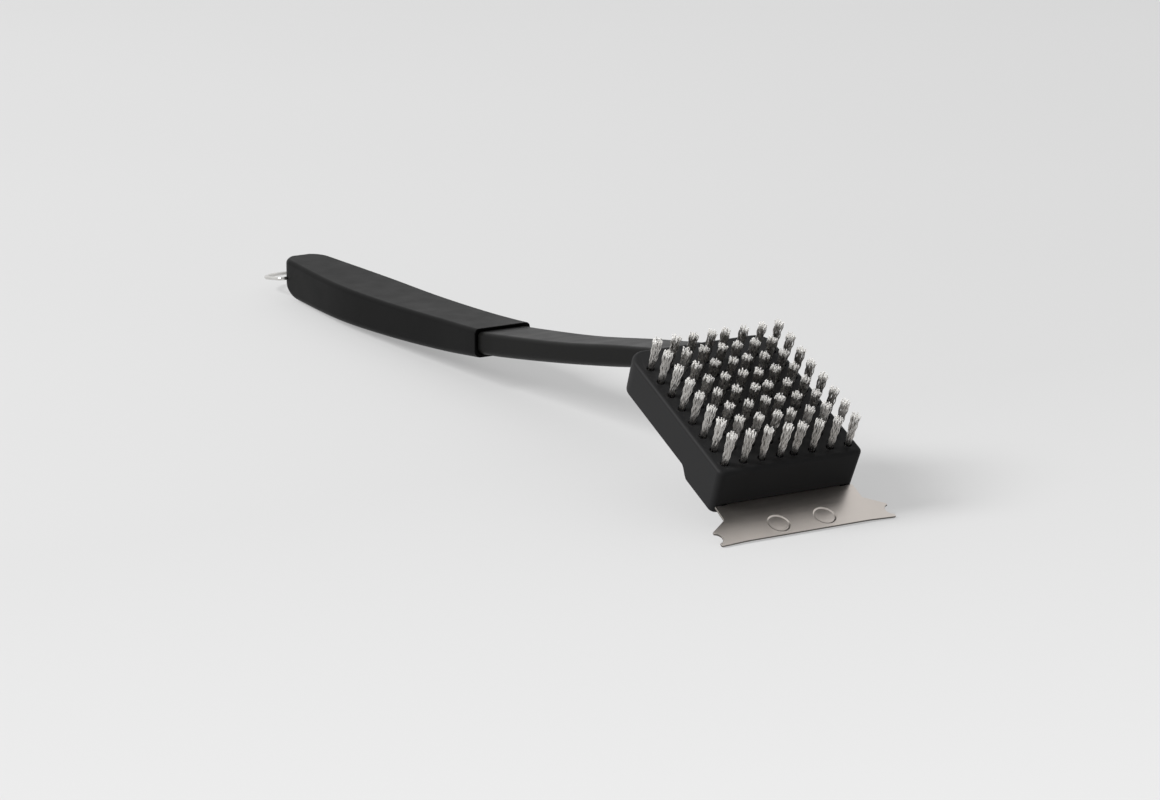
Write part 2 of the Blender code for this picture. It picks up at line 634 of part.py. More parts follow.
def make_handle_arm():
    rings = [arm_ring(b) for b in end_stations(0.0, 6)]
    rings += [arm_ring(b) for b in run_stations(ARM_END - END_ROUND, GRIP_RIM, 24)]
    rings += [arm_ring(b) for b in run_stations(GRIP_RIM, LEAN_START, 15)]
    joint = -head_reach(HEAD_REAR - GAP, ARM_JOINT_UP)
    for b in run_stations(LEAN_START, joint, 12):
        rings.append(arm_ring(b, lean=HEAD_TILT * (LEAN_START - b) / (LEAN_START - joint)))
    size = (TONGUE_TOP, TONGUE_BOTTOM, TONGUE_HALF_WIDTH)
    rings += [tongue_ring(HEAD_REAR - GAP, *size), tongue_ring(TONGUE_END, *size)]
    arm = add_object("handle_arm", loft("handle_arm", rings), BLACK_PLASTIC)
    boolean(arm, loop_hole_cutter("arm_cross_hole"))
    bm = bmesh.new()
    for place in both_sides(ARM_SCREW_AT):
        cylinder_into(bm, CLEAR_RADIUS, TONGUE_BOTTOM - HOLE_MARGIN, TONGUE_TOP + HOLE_MARGIN,
                      place)
    boolean(arm, cutter("tongue_holes", finish_mesh(bm, "tongue_holes")))


def make_grip_sleeve():
    last = ARM_END - END_ROUND
    outer = [arm_ring(b, GRIP_SKIN) for b in end_stations(GRIP_SKIN, 8)]
    outer += [arm_ring(b, GRIP_SKIN) for b in run_stations(last, GRIP_RIM, 13)]
    inner = [arm_ring(b, GAP) for b in end_stations(GAP, 6)]
    inner += [arm_ring(b, GAP) for b in run_stations(last, GRIP_RIM, 24)]
    rings = outer + inner[::-1]
    grip = add_object("grip_sleeve", loft("grip_sleeve", rings), SOFT_GRIP)
    boolean(grip, loop_hole_cutter("grip_cross_hole"))


# ---------------------------------------------------------------- hanging loop

def loop_points():
    """Centre line of the wire loop: distance behind the cross hole, and across."""
    corner = arc((LOOP_BEND, LOOP_BEND - LOOP_HALF_WIDTH), LOOP_BEND, 180, 270, 4)
    half = [(0, -LOOP_PIN_END)] + corner + [(LOOP_LEG, -LOOP_HALF_WIDTH)]
    nose = [(LOOP_LEG + LOOP_HALF_WIDTH * math.sin(a), -LOOP_HALF_WIDTH * math.cos(a))
            for a in (math.radians(15 * i) for i in range(1, 12))]
    return half + nose + [(x, -y) for x, y in reversed(half)]


def make_hang_loop():
    curve = bpy.data.curves.new("hang_loop", "CURVE")
    curve.dimensions = "3D"
    curve.bevel_depth = LOOP_WIRE_RADIUS * MM
    curve.bevel_resolution = 2
    curve.use_fill_caps = True
    points = loop_points()
    spline = curve.splines.new("POLY")
    spline.points.add(len(points) - 1)
    for point, (x, y) in zip(spline.points, points):
        point.co = (-x * MM, y * MM, 0, 1)
    loop = add_object("hang_loop", curve, SCREW_STEEL)
    loop.location = ((HEAD_X - LOOP_HOLE) * MM, 0, LOOP_HOLE_HEIGHT * MM)
    loop.rotation_euler = (0, -LOOP_DROOP, 0)


make_brush_head()
make_back_cover()
for index, position in enumerate(row_positions()):
    make_tuft_row(index + 1, position)
make_scraper_blade()
make_screws()
make_handle_arm()
make_grip_sleeve()
make_hang_loop()
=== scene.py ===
"""Looks of the grill cleaning brush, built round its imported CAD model.

Every piece stands for one CAD node at its place and size, with finer surfaces: rounded
edges, single bristle wires, smooth dimples in the scraper, recessed screw heads, and a
procedural material on each. The head's pieces are made in millimetres in the head's own
frame (x along the head towards the scraper, y across it, z the way the bristles point),
which is measured from the frame's tuft rows. The handle is made in millimetres behind
that frame's origin. Everything becomes metres in the row's frame when it is placed.
"""
import json
import math
import random

import bmesh
import bpy
import numpy as np
from mathutils import Matrix, Vector

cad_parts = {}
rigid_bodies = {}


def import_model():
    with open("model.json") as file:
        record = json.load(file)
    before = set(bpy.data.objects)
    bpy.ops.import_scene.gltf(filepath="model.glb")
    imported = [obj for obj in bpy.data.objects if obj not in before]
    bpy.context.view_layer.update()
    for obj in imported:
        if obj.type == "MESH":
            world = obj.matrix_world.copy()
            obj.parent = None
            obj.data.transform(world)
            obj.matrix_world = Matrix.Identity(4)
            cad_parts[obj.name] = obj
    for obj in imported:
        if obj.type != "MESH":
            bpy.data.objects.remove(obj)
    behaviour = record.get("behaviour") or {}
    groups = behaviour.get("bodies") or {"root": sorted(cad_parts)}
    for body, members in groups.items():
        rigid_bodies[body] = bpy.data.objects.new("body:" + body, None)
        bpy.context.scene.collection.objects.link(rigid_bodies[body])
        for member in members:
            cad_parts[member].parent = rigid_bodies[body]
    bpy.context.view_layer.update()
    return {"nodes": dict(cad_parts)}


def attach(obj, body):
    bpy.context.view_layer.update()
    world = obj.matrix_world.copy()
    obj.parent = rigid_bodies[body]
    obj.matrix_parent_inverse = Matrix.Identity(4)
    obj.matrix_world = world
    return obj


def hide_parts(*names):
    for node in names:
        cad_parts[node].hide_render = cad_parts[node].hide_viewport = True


# Lengths are in millimetres down to the camera and light, which are in metres.
MM = 0.001
WELD = 0.0005                  # vertices nearer than this become one
GAP = 0.3                      # clearance between pieces that touch
CORNER_STEPS = 8               # spans in a rounded corner
SHARP_ANGLE = 38               # degrees from which neighbouring faces are shaded apart

# Head, in the head frame
HEAD_HALF_WIDTH = 34.2
HEAD_SIDE_DRAFT = 0.035        # the sides lean in by this much per mm of depth
HEAD_FRONT = 37.5
HEAD_REAR = -44.8
HEAD_REAR_DRAFT = 0.03
FRONT_CORNER = 3.0
REAR_CORNER = 8.0
TOP_EDGE_ROUND = 1.8
RIM_ROUND = 0.6                # edges round the open underside
SIDE_WALL = 1.9
END_WALL = 2.6
BRISTLE_PLATE = 5.0
SKIRT_DEPTH = 16.3             # side walls behind the step
JAW_DEPTH = 20.5               # side walls in front of the step
STEP_START = 10.4
STEP_LENGTH = 5.6
CUT_MARGIN = 5.0               # how far a cutter passes the surface it opens
LEAST_CORNER = 0.6             # of an outline that is drawn inwards
SIDE_SPANS = 60                # along a long side
END_SPANS = 12

# Bristle field
TUFT_ROWS = 8
COLUMNS = 8
COLUMN_PITCH = 8.7
CENTRE_PITCH = 6.6             # the two middle columns stand closer together
TUFT_HEIGHT = 15.0
TUFT_HOLE_RADIUS = 1.6
TUFT_HOLE_CHAMFER = 0.35
HOLE_SIDES = 28
ANCHOR_AT = -4.4
ANCHOR_RADIUS = 0.5
ANCHOR_SIDES = 8
WIRES = 18                     # in one tuft
WIRE_RADIUS = 0.24
WIRE_SIDES = 5
WIRE_SEGMENTS = 28             # above the hole
WIRE_FOOT = -3.6
PAINTED_HIGHLIGHT_SEGMENTS = 3              # painted highlight along the tips, in segments
ROOT_SPREAD = 1.3
TIP_SPREAD = 2.15
CRIMP = 0.17                   # height of the waves in the wire
CRIMP_PITCH = 4.8
CRIMP_PLANE = math.radians(60)  # way the waves lie, from the head's long axis
CRIMP_RISE = 3                 # the waves grow over the first 1 / CRIMP_RISE of a wire
SPREAD_POWER = 0.9             # the wires move apart with this power of the height

# Bristle field, how much its tufts and wires differ
TUFT_LEAN = 0.03               # sideways per mm of height
PLANE_SCATTER = 0.35           # radians, from tuft to tuft
BEND_SCATTER = 0.25            # radians, from wire to wire
PHASE_SCATTER = 0.25           # radians
TURN_SCATTER = 0.3             # radians, place of a wire round its tuft
TIP_SCATTER = 0.12
PITCH_SCATTER = (0.98, 1.02)   # factors
LENGTH_SCATTER = (-0.3, 0.12)  # added to the height

# Scraper
BLADE_THICKNESS = 0.8
BLADE_TOP = -(SKIRT_DEPTH + 0.5)
BLADE_REACH = 22.5             # in front of the head
BLADE_DROOP = math.radians(2.1)
BLADE_EDGE_ROUND = 0.16
PAINTED_SHADE_STRIPS = 6             # of the seven round the edge, from below: sheared metal, painted dark as shade
BLADE_SHOULDER = 32.8
BLADE_WAIST = (8.6, 33.0)      # bottom of the V notch: distance in front of the head, half width
BLADE_EAR = (14.2, 41.2)
BLADE_HALF_WIDTH = 41.6
BLADE_HOLLOW = (12.5, 0.7)     # the front edge draws back by the second within the first
BLADE_NOTCH_AT = 18.0
BLADE_NOTCH_RADIUS = 2.8
TANG_REAR = 20.0
TANG_HALF_WIDTH = 27.0
TANG_CHAMFER = 2.0
DIMPLE_AT = (15.2, 10.9)
DIMPLE_RADIUS = 5.0
DIMPLE_FLOOR_RADIUS = 4.2
DIMPLE_DEPTH = 0.3
DIMPLE_CROWN = 0.06            # how far the floor rises in its middle
DIMPLE_FLOOR_RINGS = (3.2, 2.4, 1.5, 0.7)
DIMPLE_SIDES = 48

# Cover and screws
COVER_INSET = 0.2
COVER_TOP = -13.5
COVER_BOTTOM = -(SKIRT_DEPTH - COVER_INSET)
COVER_HALF_WIDTH = 30.0
COVER_REAR = -41.4
COVER_CORNER = 4.0
COVER_RAMP = (0.8, 5.0)        # behind the tang: end and start of the slope down to it
COVER_EDGE_ROUND = 0.35
COVER_STEPS = 16               # spans along the step
SHANK_RADIUS = 1.4
PILOT_RADIUS = SHANK_RADIUS + GAP
SCREW_HEAD_RADIUS = 2.8
SCREW_SIDES = 32
COUNTERBORE_RADIUS = SCREW_HEAD_RADIUS + GAP
COVER_COUNTERBORE = 1.6        # depth
BLADE_COUNTERBORE = 1.5
COVER_HEAD_INSET = 0.1
BLADE_HEAD_INSET = 0.3
ARM_HEAD_HEIGHT = 1.8
TIP_ROOM = 0.4
THREAD_PITCH = 0.8
THREAD_ROOT = SHANK_RADIUS * 0.8
CROSS_REACH = (1.5, 0.93)      # half length of the recess at its mouth and floor
CROSS_HALF_WIDTH = 0.28
CROSS_DEPTH = 0.62             # share of the head's height
COVER_PILOT_TOP = -7.0
BLADE_PILOT_TOP = -9.0
ARM_PILOT_TOP = -2.0

# Handle: distance behind the head's origin, height of the top, height of the bottom,
# half width, all of the hard arm. The soft grip is GRIP_SKIN larger.
ARM_STATIONS = (
    (37.0, 58.3, 49.5, 12.0),
    (89.0, 48.4, 38.5, 11.9),
    (142.0, 38.1, 28.2, 12.0),
    (195.0, 29.7, 19.0, 12.4),
    (212.0, 27.4, 16.7, 12.8),
    (247.0, 24.5, 12.0, 12.5),
    (300.0, 21.0, 7.1, 13.5),
    (353.0, 18.9, 3.9, 13.9),
    (423.0, 17.8, 1.9, 9.4),
)
ARM_END = 421.0
ARM_TOP_CORNER = 2.2
ARM_BOTTOM_CORNER = 3.2
END_PLAN_ROUND = 9.2
END_TOP_ROUND = 0.9
END_BOTTOM_ROUND = 17.0
END_ROUND = max(END_PLAN_ROUND, END_BOTTOM_ROUND)
GRIP_SKIN = 1.5
GRIP_RIM = 210.5
RIM_EDGE = 0.45                # rounding of the grip's front edge
LEAN_START = 90.0
ARM_JOINT_UP = -8.3
TONGUE_TOP = -6.6
TONGUE_BOTTOM = -10.0
TONGUE_HALF_WIDTH = 10.5
TONGUE_CHAMFER = 1.0
TONGUE_END = -20.0
STATION_PITCH = 3.0

# Hanging loop
LOOP_HOLE = 413.6              # cross hole, behind the head's origin
LOOP_HOLE_HEIGHT = 10.2
LOOP_HOLE_RADIUS = 1.3
LOOP_HOLE_REACH = 30.0         # of its cutter, either way
LOOP_HOLE_SIDES = 24
LOOP_WIRE_RADIUS = 0.9
LOOP_WIRE_SIDES = 16
LOOP_HALF_WIDTH = 15.1
LOOP_LEG = 13.3
LOOP_BEND = 2.5
LOOP_PIN_END = 7.0
LOOP_DROOP = math.radians(9.6)

# Camera and light
VIEW_AZIMUTH = math.radians(29.56)     # from the brush's long axis
VIEW_ELEVATION = math.radians(15.2)
CAMERA_AT = Vector((1.5318, -0.8359, 0.4712))
LENS = 124.1
FLOOR_REACH = 8.0
FLOOR_DROP = 0.0002                    # keeps the table clear of the brush
FLOOR_GREY = (0.235, 0.245)
FLOOR_PAINTED_LIGHT = (0.348, 0.465)            # painted light the floor gives off though it is no lamp, far and near
FLOOR_FALL = (0.31, 0.03, 0.0)         # the way it grows, per metre
FLOOR_SPAN = (0.03, 0.20)              # far and near, measured along that way
SKY_TOWARDS = (-0.84, 0.47, 0.27)      # the way the studio's walls are brightest
SKY_GLOW = (0.36, 0.90)                # behind the camera, and opposite it
SKY_SPAN = (-0.7, 0.8)                 # the same two, measured along that way
KEY_TOWARDS = (-0.20, -1.0, 0.80)
KEY_DISTANCE = 4.5
KEY_SIZE = 1.8
KEY_POWER = 326.0
KEY_TARGET = (0.05, 0, 0.02)


# ---------------------------------------------------------------- frame

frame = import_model()


def node_points(name):
    return np.array([v.co for v in frame["nodes"][name].data.vertices], float)


def head_frame():
    """The head's frame in metres, and the pitch of its tuft rows, from the first and last row."""
    first, last = node_points("tuft_row_1"), node_points("tuft_row_8")
    run = Vector(last.mean(0) - first.mean(0))
    along, across = run.normalized(), Vector((0, 1, 0))
    up = along.cross(across)
    both = np.vstack((first, last))
    reach, rise = both @ np.array(along), both @ np.array(up)
    origin = along * ((reach.min() + reach.max()) / 2) + up * (rise.max() - TUFT_HEIGHT * MM)
    matrix = Matrix((along, across, up)).transposed().to_4x4()
    matrix.translation = origin
    return matrix, run.length / MM / (TUFT_ROWS - 1)


HEAD, ROW_PITCH = head_frame()
HEAD_X = HEAD.translation.x / MM
HEAD_TILT = math.atan2(HEAD[0][2], HEAD[0][0])
ROWS = [(i - (TUFT_ROWS - 1) / 2) * ROW_PITCH for i in range(TUFT_ROWS)]
ARM_SCREW_AT = (-3.0 * ROW_PITCH, 7.65)
COVER_SCREW_AT = (-2.0 * ROW_PITCH, 25.05)
BLADE_SCREW_AT = (3.0 * ROW_PITCH, 16.35)
IN_HEAD = HEAD @ Matrix.Scale(MM, 4)
IN_ROW = Matrix.Scale(MM, 4)


# ---------------------------------------------------------------- materials

RAMP_ENDS = (0.3, 0.7)                 # the range of noise that a colour ramp spreads over


def tree_of(mat):
    mat.use_nodes = True
    nodes = mat.node_tree.nodes
    return nodes, mat.node_tree.links, nodes["Principled BSDF"]


def shader_value(shader, **values):
    for name, value in values.items():
        shader.inputs[name.replace("_", " ")].default_value = value


def noise_node(nodes, links, scale, detail=2.0, stretch=(1, 1, 1), roughness=0.5):
    """Noise in the piece's own space, with features about 1 / scale metres across."""
    coords = nodes.new("ShaderNodeTexCoord")
    mapping = nodes.new("ShaderNodeMapping")
    mapping.inputs["Scale"].default_value = stretch
    texture = nodes.new("ShaderNodeTexNoise")
    texture.inputs["Scale"].default_value = scale
    texture.inputs["Detail"].default_value = detail
    texture.inputs["Roughness"].default_value = roughness
    links.new(coords.outputs["Object"], mapping.inputs["Vector"])
    links.new(mapping.outputs["Vector"], texture.inputs["Vector"])
    return texture.outputs["Fac"]


def ramp_node(nodes, links, source, low, high):
    """Colour ramp from low to high, each an RGB colour or a grey value."""
    ramp = nodes.new("ShaderNodeValToRGB")
    for element, at, value in zip(ramp.color_ramp.elements, RAMP_ENDS, (low, high)):
        element.position = at
        colour = value if hasattr(value, "__len__") else (value,) * 3
        element.color = (*colour, 1.0)
    links.new(source, ramp.inputs["Fac"])
    return ramp.outputs["Color"]


def bump_node(nodes, links, source, shader, height, strength):
    bump = nodes.new("ShaderNodeBump")
    bump.inputs["Distance"].default_value = height
    bump.inputs["Strength"].default_value = strength
    links.new(source, bump.inputs["Height"])
    links.new(bump.outputs["Normal"], shader.inputs["Normal"])


def moulded_plastic(name, dark, light, rough, gloss_level, grain_height):
    """Black plastic with the fine spark-eroded grain of its mould and faint cloudy gloss."""
    mat = bpy.data.materials.new(name)
    nodes, links, shader = tree_of(mat)
    cloud = noise_node(nodes, links, 90.0, 3.0)
    grain = noise_node(nodes, links, 2600.0, 2.0)
    links.new(ramp_node(nodes, links, cloud, dark, light), shader.inputs["Base Color"])
    gloss = ramp_node(nodes, links, cloud, rough[0], rough[1])
    links.new(gloss, shader.inputs["Roughness"])
    shader_value(shader, Specular_IOR_Level=gloss_level)
    bump_node(nodes, links, grain, shader, grain_height, 0.5)
    return mat


def rolled_steel(name, dark, light, rough, scale, stretch, height):
    """Satin sheet: faint streaks along the way it was rolled, in colour, gloss and height."""
    mat = bpy.data.materials.new(name)
    nodes, links, shader = tree_of(mat)
    streak = noise_node(nodes, links, scale, 3.0, stretch, 0.6)
    haze = noise_node(nodes, links, 70.0, 2.0)
    links.new(ramp_node(nodes, links, haze, dark, light), shader.inputs["Base Color"])
    gloss = ramp_node(nodes, links, streak, rough[0], rough[1])
    links.new(gloss, shader.inputs["Roughness"])
    shader_value(shader, Metallic=1.0)
    bump_node(nodes, links, streak, shader, height, 0.3)
    return mat


# Head and arm share one black plastic. The head's lighter colour is painted light on its sides, and
# the arm's darker colour is painted shade. The soft grip really is a darker plastic, and it is
# darkened further as painted shade.
HEAD_PLASTIC_PAINTED_LIGHT = moulded_plastic("head_plastic", (0.0120, 0.0120, 0.0123), (0.0140, 0.0140, 0.0143),
                               (0.44, 0.54), 0.06, 0.00003)
ARM_PLASTIC_PAINTED_SHADE = moulded_plastic("arm_plastic", (0.0026, 0.0026, 0.0024), (0.0036, 0.0036, 0.0034),
                              (0.36, 0.43), 0.055, 0.00002)
SOFT_GRIP_AND_PAINTED_SHADE = moulded_plastic("soft_grip", (0.0017, 0.0017, 0.0017), (0.0022, 0.0022, 0.0022),
                            (0.40, 0.45), 0.042, 0.00002)
BLADE_STEEL = rolled_steel("satin_steel", (0.62, 0.575, 0.535), (0.66, 0.61, 0.57),
                           (0.29, 0.34), 900.0, (1.0, 0.04, 1.0), 0.0000005)
# Sheared edge: rougher cut metal, and painted far darker than the blade as shade along its edge.
SHEARED_EDGE_PAINTED_SHADE = rolled_steel("sheared_edge_painted_shade", (0.12, 0.11, 0.10), (0.18, 0.17, 0.155),
                             (0.5, 0.65), 2200.0, (1.0, 1.0, 0.3), 0.00001)
SCREW_STEEL = rolled_steel("screw_steel", (0.42, 0.42, 0.43), (0.52, 0.52, 0.53),
                           (0.3, 0.42), 1500.0, (1.0, 1.0, 1.0), 0.00001)
LOOP_STEEL = rolled_steel("loop_wire", (0.60, 0.59, 0.57), (0.72, 0.71, 0.69),
                          (0.18, 0.3), 2500.0, (1.0, 0.2, 1.0), 0.000006)
BRISTLE_STEEL = rolled_steel("bristle_wire", (0.50, 0.485, 0.465), (0.72, 0.70, 0.675),
                             (0.22, 0.34), 1800.0, (1.0, 1.0, 0.1), 0.000003)
# Near-white steel for the matte cut ends, and for the last segments of every wire, where it is a
# painted highlight of light catching the tips.
CUT_ENDS_AND_PAINTED_HIGHLIGHT = rolled_steel("cut_ends_and_painted_highlight", (0.88, 0.87, 0.85), (0.97, 0.96, 0.94),
                         (0.5, 0.65), 4000.0, (1.0, 1.0, 1.0), 0.00001)


# ---------------------------------------------------------------- mesh helpers

def place(name, mesh, mats, body, slot, *nodes):
    """Make the piece that stands for CAD nodes, and let it ride on their body."""
    piece = bpy.data.objects.new(name, mesh)
    bpy.context.scene.collection.objects.link(piece)
    for mat in mats:
        mesh.materials.append(mat)
    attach(piece, body)
    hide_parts(*nodes)
    return piece


def soften(mesh, sharp=SHARP_ANGLE):
    """Smooth shading, but for edges sharper than an angle in degrees."""
    mesh.shade_smooth()
    mesh.set_sharp_from_angle(angle=math.radians(sharp))
    return mesh


def finish_mesh(bm, name, matrix, sharp=SHARP_ANGLE):
    """Weld a bmesh, move it by the matrix and turn it into a smooth-shaded mesh."""
    bmesh.ops.remove_doubles(bm, verts=bm.verts, dist=WELD)
    bmesh.ops.recalc_face_normals(bm, faces=bm.faces)
    bm.transform(matrix)
    mesh = bpy.data.meshes.new(name)
    bm.to_mesh(mesh)
    bm.free()
    return soften(mesh, sharp)


def skin_rings(rings):
    """Skin closed rings of equal length into a bmesh, in the units given."""
    bm = bmesh.new()
    loops = [[bm.verts.new(point) for point in ring] for ring in rings]
    for lower, upper in zip(loops, loops[1:]):
        for i in range(len(lower)):
            j = (i + 1) % len(lower)
            bm.faces.new((lower[i], lower[j], upper[j], upper[i]))
    bm.faces.new(loops[0])
    bm.faces.new(loops[-1])
    return bm


def arc(centre, radius, start, stop, steps):
    """Points of an arc, angles in degrees."""
    angles = [math.radians(start + (stop - start) * i / steps) for i in range(steps + 1)]
    return [(centre[0] + radius * math.cos(a), centre[1] + radius * math.sin(a)) for a in angles]


def both_sides(at):
    return ((at[0], at[1]), (at[0], -at[1]))


def lathe_into(bm, profile, at, sides, turn=Matrix()):
    """Turn a (radius, height) profile about a vertical axis through at."""
    rings = []
    for radius, height in profile:
        ring = []
        for i in range(sides):
            a = 2 * math.pi * i / sides
            point = turn @ Vector((radius * math.cos(a), radius * math.sin(a), height))
            ring.append(bm.verts.new(Vector(at) + point))
        rings.append(ring)
    for lower, upper in zip(rings, rings[1:]):
        for i in range(sides):
            j = (i + 1) % sides
            bm.faces.new((lower[i], lower[j], upper[j], upper[i]))
    bm.faces.new(rings[0])
    bm.faces.new(rings[-1])


def box_into(bm, low, high):
    size, middle = Vector(high) - Vector(low), (Vector(high) + Vector(low)) / 2
    bmesh.ops.create_cube(bm, size=1, matrix=Matrix.Translation(middle)
                          @ Matrix.Diagonal((*size, 1)))


def cut(mesh, cutters, matrix):
    """The mesh with each cutter bmesh taken away in turn."""
    linked = bpy.context.scene.collection.objects
    body = bpy.data.objects.new("cut_body", mesh)
    linked.link(body)
    helpers = []
    for bm in cutters:
        helper = bpy.data.objects.new("cut_tool", finish_mesh(bm, "cut_tool", matrix))
        linked.link(helper)
        helpers.append(helper)
        modifier = body.modifiers.new("cut", "BOOLEAN")
        modifier.operation = "DIFFERENCE"
        modifier.object = helper
        modifier.solver = "EXACT"
    depsgraph = bpy.context.evaluated_depsgraph_get()
    result = bpy.data.meshes.new_from_object(body.evaluated_get(depsgraph))
    for helper in helpers + [body]:
        bpy.data.objects.remove(helper, do_unlink=True)
    return result


def weigh_normals(piece):
    """Keep the shading of flat faces flat beside rounded edges."""
    modifier = piece.modifiers.new("flat_faces", "WEIGHTED_NORMAL")
    modifier.keep_sharp = True
    modifier.weight = 60


# ---------------------------------------------------------------- head

def underside(along):
    """Depth of the head's lower rim at a place along the head."""
    share = min(max((along - STEP_START) / STEP_LENGTH, 0.0), 1.0)
    return SKIRT_DEPTH + (JAW_DEPTH - SKIRT_DEPTH) * (1 - math.cos(math.pi * share)) / 2


def plan_ring(depth_of, inset):
    """Outline of the head as a rounded rectangle, drafted by depth, with many side points."""
    def corner(front, side, start):
        radius = max((FRONT_CORNER if front else REAR_CORNER) - inset[0], LEAST_CORNER)
        end = HEAD_FRONT - inset[0] if front else HEAD_REAR + inset[0]
        x = end - radius if front else end + radius
        y = side * (HEAD_HALF_WIDTH - inset[1] - radius)
        return arc((x, y), radius, start, start + 90, CORNER_STEPS)

    def run(a, b, count):
        return [(a[0] + (b[0] - a[0]) * i / count, a[1] + (b[1] - a[1]) * i / count)
                for i in range(1, count)]
    corners = [corner(True, 1, 0), corner(False, 1, 90), corner(False, -1, 180),
               corner(True, -1, 270)]
    flat = []
    for i, points in enumerate(corners):
        following = corners[(i + 1) % 4]
        flat += points
        flat += run(points[-1], following[0], SIDE_SPANS if i % 2 == 0 else END_SPANS)
    ring = []
    for x, y in flat:
        depth = depth_of(x)
        lean = HEAD_SIDE_DRAFT * depth * y / HEAD_HALF_WIDTH
        back = HEAD_REAR_DRAFT * depth * max(0.0, -x / HEAD_FRONT)
        ring.append((x + back, y - lean, -depth))
    return ring


def head_rings():
    """Outlines from the inner ceiling, down the inside, round the rim and up to the top face."""
    wall = (END_WALL, SIDE_WALL)
    rings = [plan_ring(lambda x: BRISTLE_PLATE, wall)]
    rings.append(plan_ring(lambda x: underside(x) - RIM_ROUND, wall))
    for angle in (30, 60, 90):
        a = math.radians(angle)
        inset = tuple(w - RIM_ROUND * (1 - math.cos(a)) for w in wall)
        rings.append(plan_ring(lambda x: underside(x) - RIM_ROUND * (1 - math.sin(a)), inset))
    for angle in (90, 60, 30, 0):
        a = math.radians(angle)
        inset = RIM_ROUND * (1 - math.cos(a))
        rings.append(plan_ring(lambda x: underside(x) - RIM_ROUND * (1 - math.sin(a)),
                               (inset, inset)))
    for share in (0.75, 0.5, 0.25):
        rings.append(plan_ring(lambda x: TOP_EDGE_ROUND + share
                               * (underside(x) - RIM_ROUND - TOP_EDGE_ROUND), (0, 0)))
    for step in range(CORNER_STEPS + 1):
        a = math.radians(90 * step / CORNER_STEPS)
        inset = TOP_EDGE_ROUND * (1 - math.cos(a))
        depth = TOP_EDGE_ROUND * (1 - math.sin(a))
        rings.append(plan_ring(lambda x: depth, (inset, inset)))
    return rings


def head_openings():
    """Cutter for the scraper's slot in the front wall and the arm's socket in the rear one."""
    openings = bmesh.new()
    below = -JAW_DEPTH - CUT_MARGIN
    behind = HEAD_REAR - CUT_MARGIN
    cheek = COVER_HALF_WIDTH + GAP
    box_into(openings, (HEAD_FRONT - END_WALL - CUT_MARGIN / 2, -cheek, below),
             (HEAD_FRONT + CUT_MARGIN, cheek, BLADE_TOP + GAP))
    box_into(openings, (behind, -TONGUE_HALF_WIDTH - GAP, TONGUE_BOTTOM - GAP),
             (HEAD_REAR + END_WALL + CUT_MARGIN / 2, TONGUE_HALF_WIDTH + GAP, TONGUE_TOP + GAP))
    return openings


def tuft_holes():
    """Cutter for every tuft's hole, with a softened mouth."""
    holes = bmesh.new()
    r, c = TUFT_HOLE_RADIUS, TUFT_HOLE_CHAMFER
    profile = ((r, -BRISTLE_PLATE - c), (r, -c), (r + 0.3 * c, -0.35 * c), (r + c, 0.0),
               (r + 2 * c, c))
    for x in ROWS:
        for y in column_positions():
            lathe_into(holes, profile, (x, y, 0), HOLE_SIDES)
    return holes


def make_head():
    mesh = finish_mesh(skin_rings(head_rings()), "head_shell", IN_HEAD)
    mesh = cut(mesh, (head_openings(), tuft_holes()), IN_HEAD)
    weigh_normals(place("head_shell", soften(mesh), (HEAD_PLASTIC_PAINTED_LIGHT,), "brush", "head_plastic",
                        "brush_head"))


def column_positions():
    right = [CENTRE_PITCH / 2 + COLUMN_PITCH * i for i in range(COLUMNS // 2)]
    return [-y for y in reversed(right)] + right


def make_cover():
    """Plate in the underside: flat, then a smooth step down to the deeper jaw."""
    outline = [(COVER_REAR, COVER_TOP), (COVER_REAR, COVER_BOTTOM)]
    for i in range(COVER_STEPS + 1):
        x = STEP_START - GAP + STEP_LENGTH * i / COVER_STEPS
        outline.append((x, COVER_INSET - underside(x + GAP)))
    under_tang = BLADE_TOP - BLADE_THICKNESS - GAP
    outline += [(HEAD_FRONT - COVER_INSET, COVER_INSET - JAW_DEPTH),
                (HEAD_FRONT - COVER_INSET, under_tang),
                (TANG_REAR - COVER_RAMP[0], under_tang), (TANG_REAR - COVER_RAMP[1], COVER_TOP)]
    rings = [[(x, side * COVER_HALF_WIDTH, z) for x, z in outline] for side in (-1, 1)]
    bm = skin_rings(rings)
    corners = [edge for edge in bm.edges
               if all(abs(v.co.x - COVER_REAR) < 0.001 for v in edge.verts)
               and abs(edge.verts[0].co.y - edge.verts[1].co.y) < 0.001]
    bmesh.ops.bevel(bm, geom=corners, offset=COVER_CORNER, segments=10, affect="EDGES",
                    profile=0.5)
    rim = [edge for edge in bm.edges
           if len(edge.link_faces) == 2 and edge.calc_face_angle(0) > math.radians(50)]
    bmesh.ops.bevel(bm, geom=rim, offset=COVER_EDGE_ROUND, segments=3, affect="EDGES",
                    profile=0.5)
    mesh = finish_mesh(bm, "cover_plate", IN_HEAD)
    holes = bmesh.new()
    for at, floor, depth in ((COVER_SCREW_AT, COVER_BOTTOM, COVER_COUNTERBORE),
                             (BLADE_SCREW_AT, -JAW_DEPTH + COVER_INSET, BLADE_COUNTERBORE)):
        for side in both_sides(at):
            seat = floor - COVER_INSET + depth
            wide = COUNTERBORE_RADIUS
            profile = ((wide + 0.6, floor - 0.4), (wide + 0.2, floor), (wide, floor + 0.2),
                       (wide, seat), (PILOT_RADIUS, seat), (PILOT_RADIUS, COVER_TOP + 1))
            lathe_into(holes, profile, (*side, 0), HOLE_SIDES)
    mesh = cut(mesh, (holes,), IN_HEAD)
    weigh_normals(place("cover_plate", soften(mesh), (HEAD_PLASTIC_PAINTED_LIGHT,), "brush", "head_plastic",
                        "back_cover"))


# ---------------------------------------------------------------- tufts

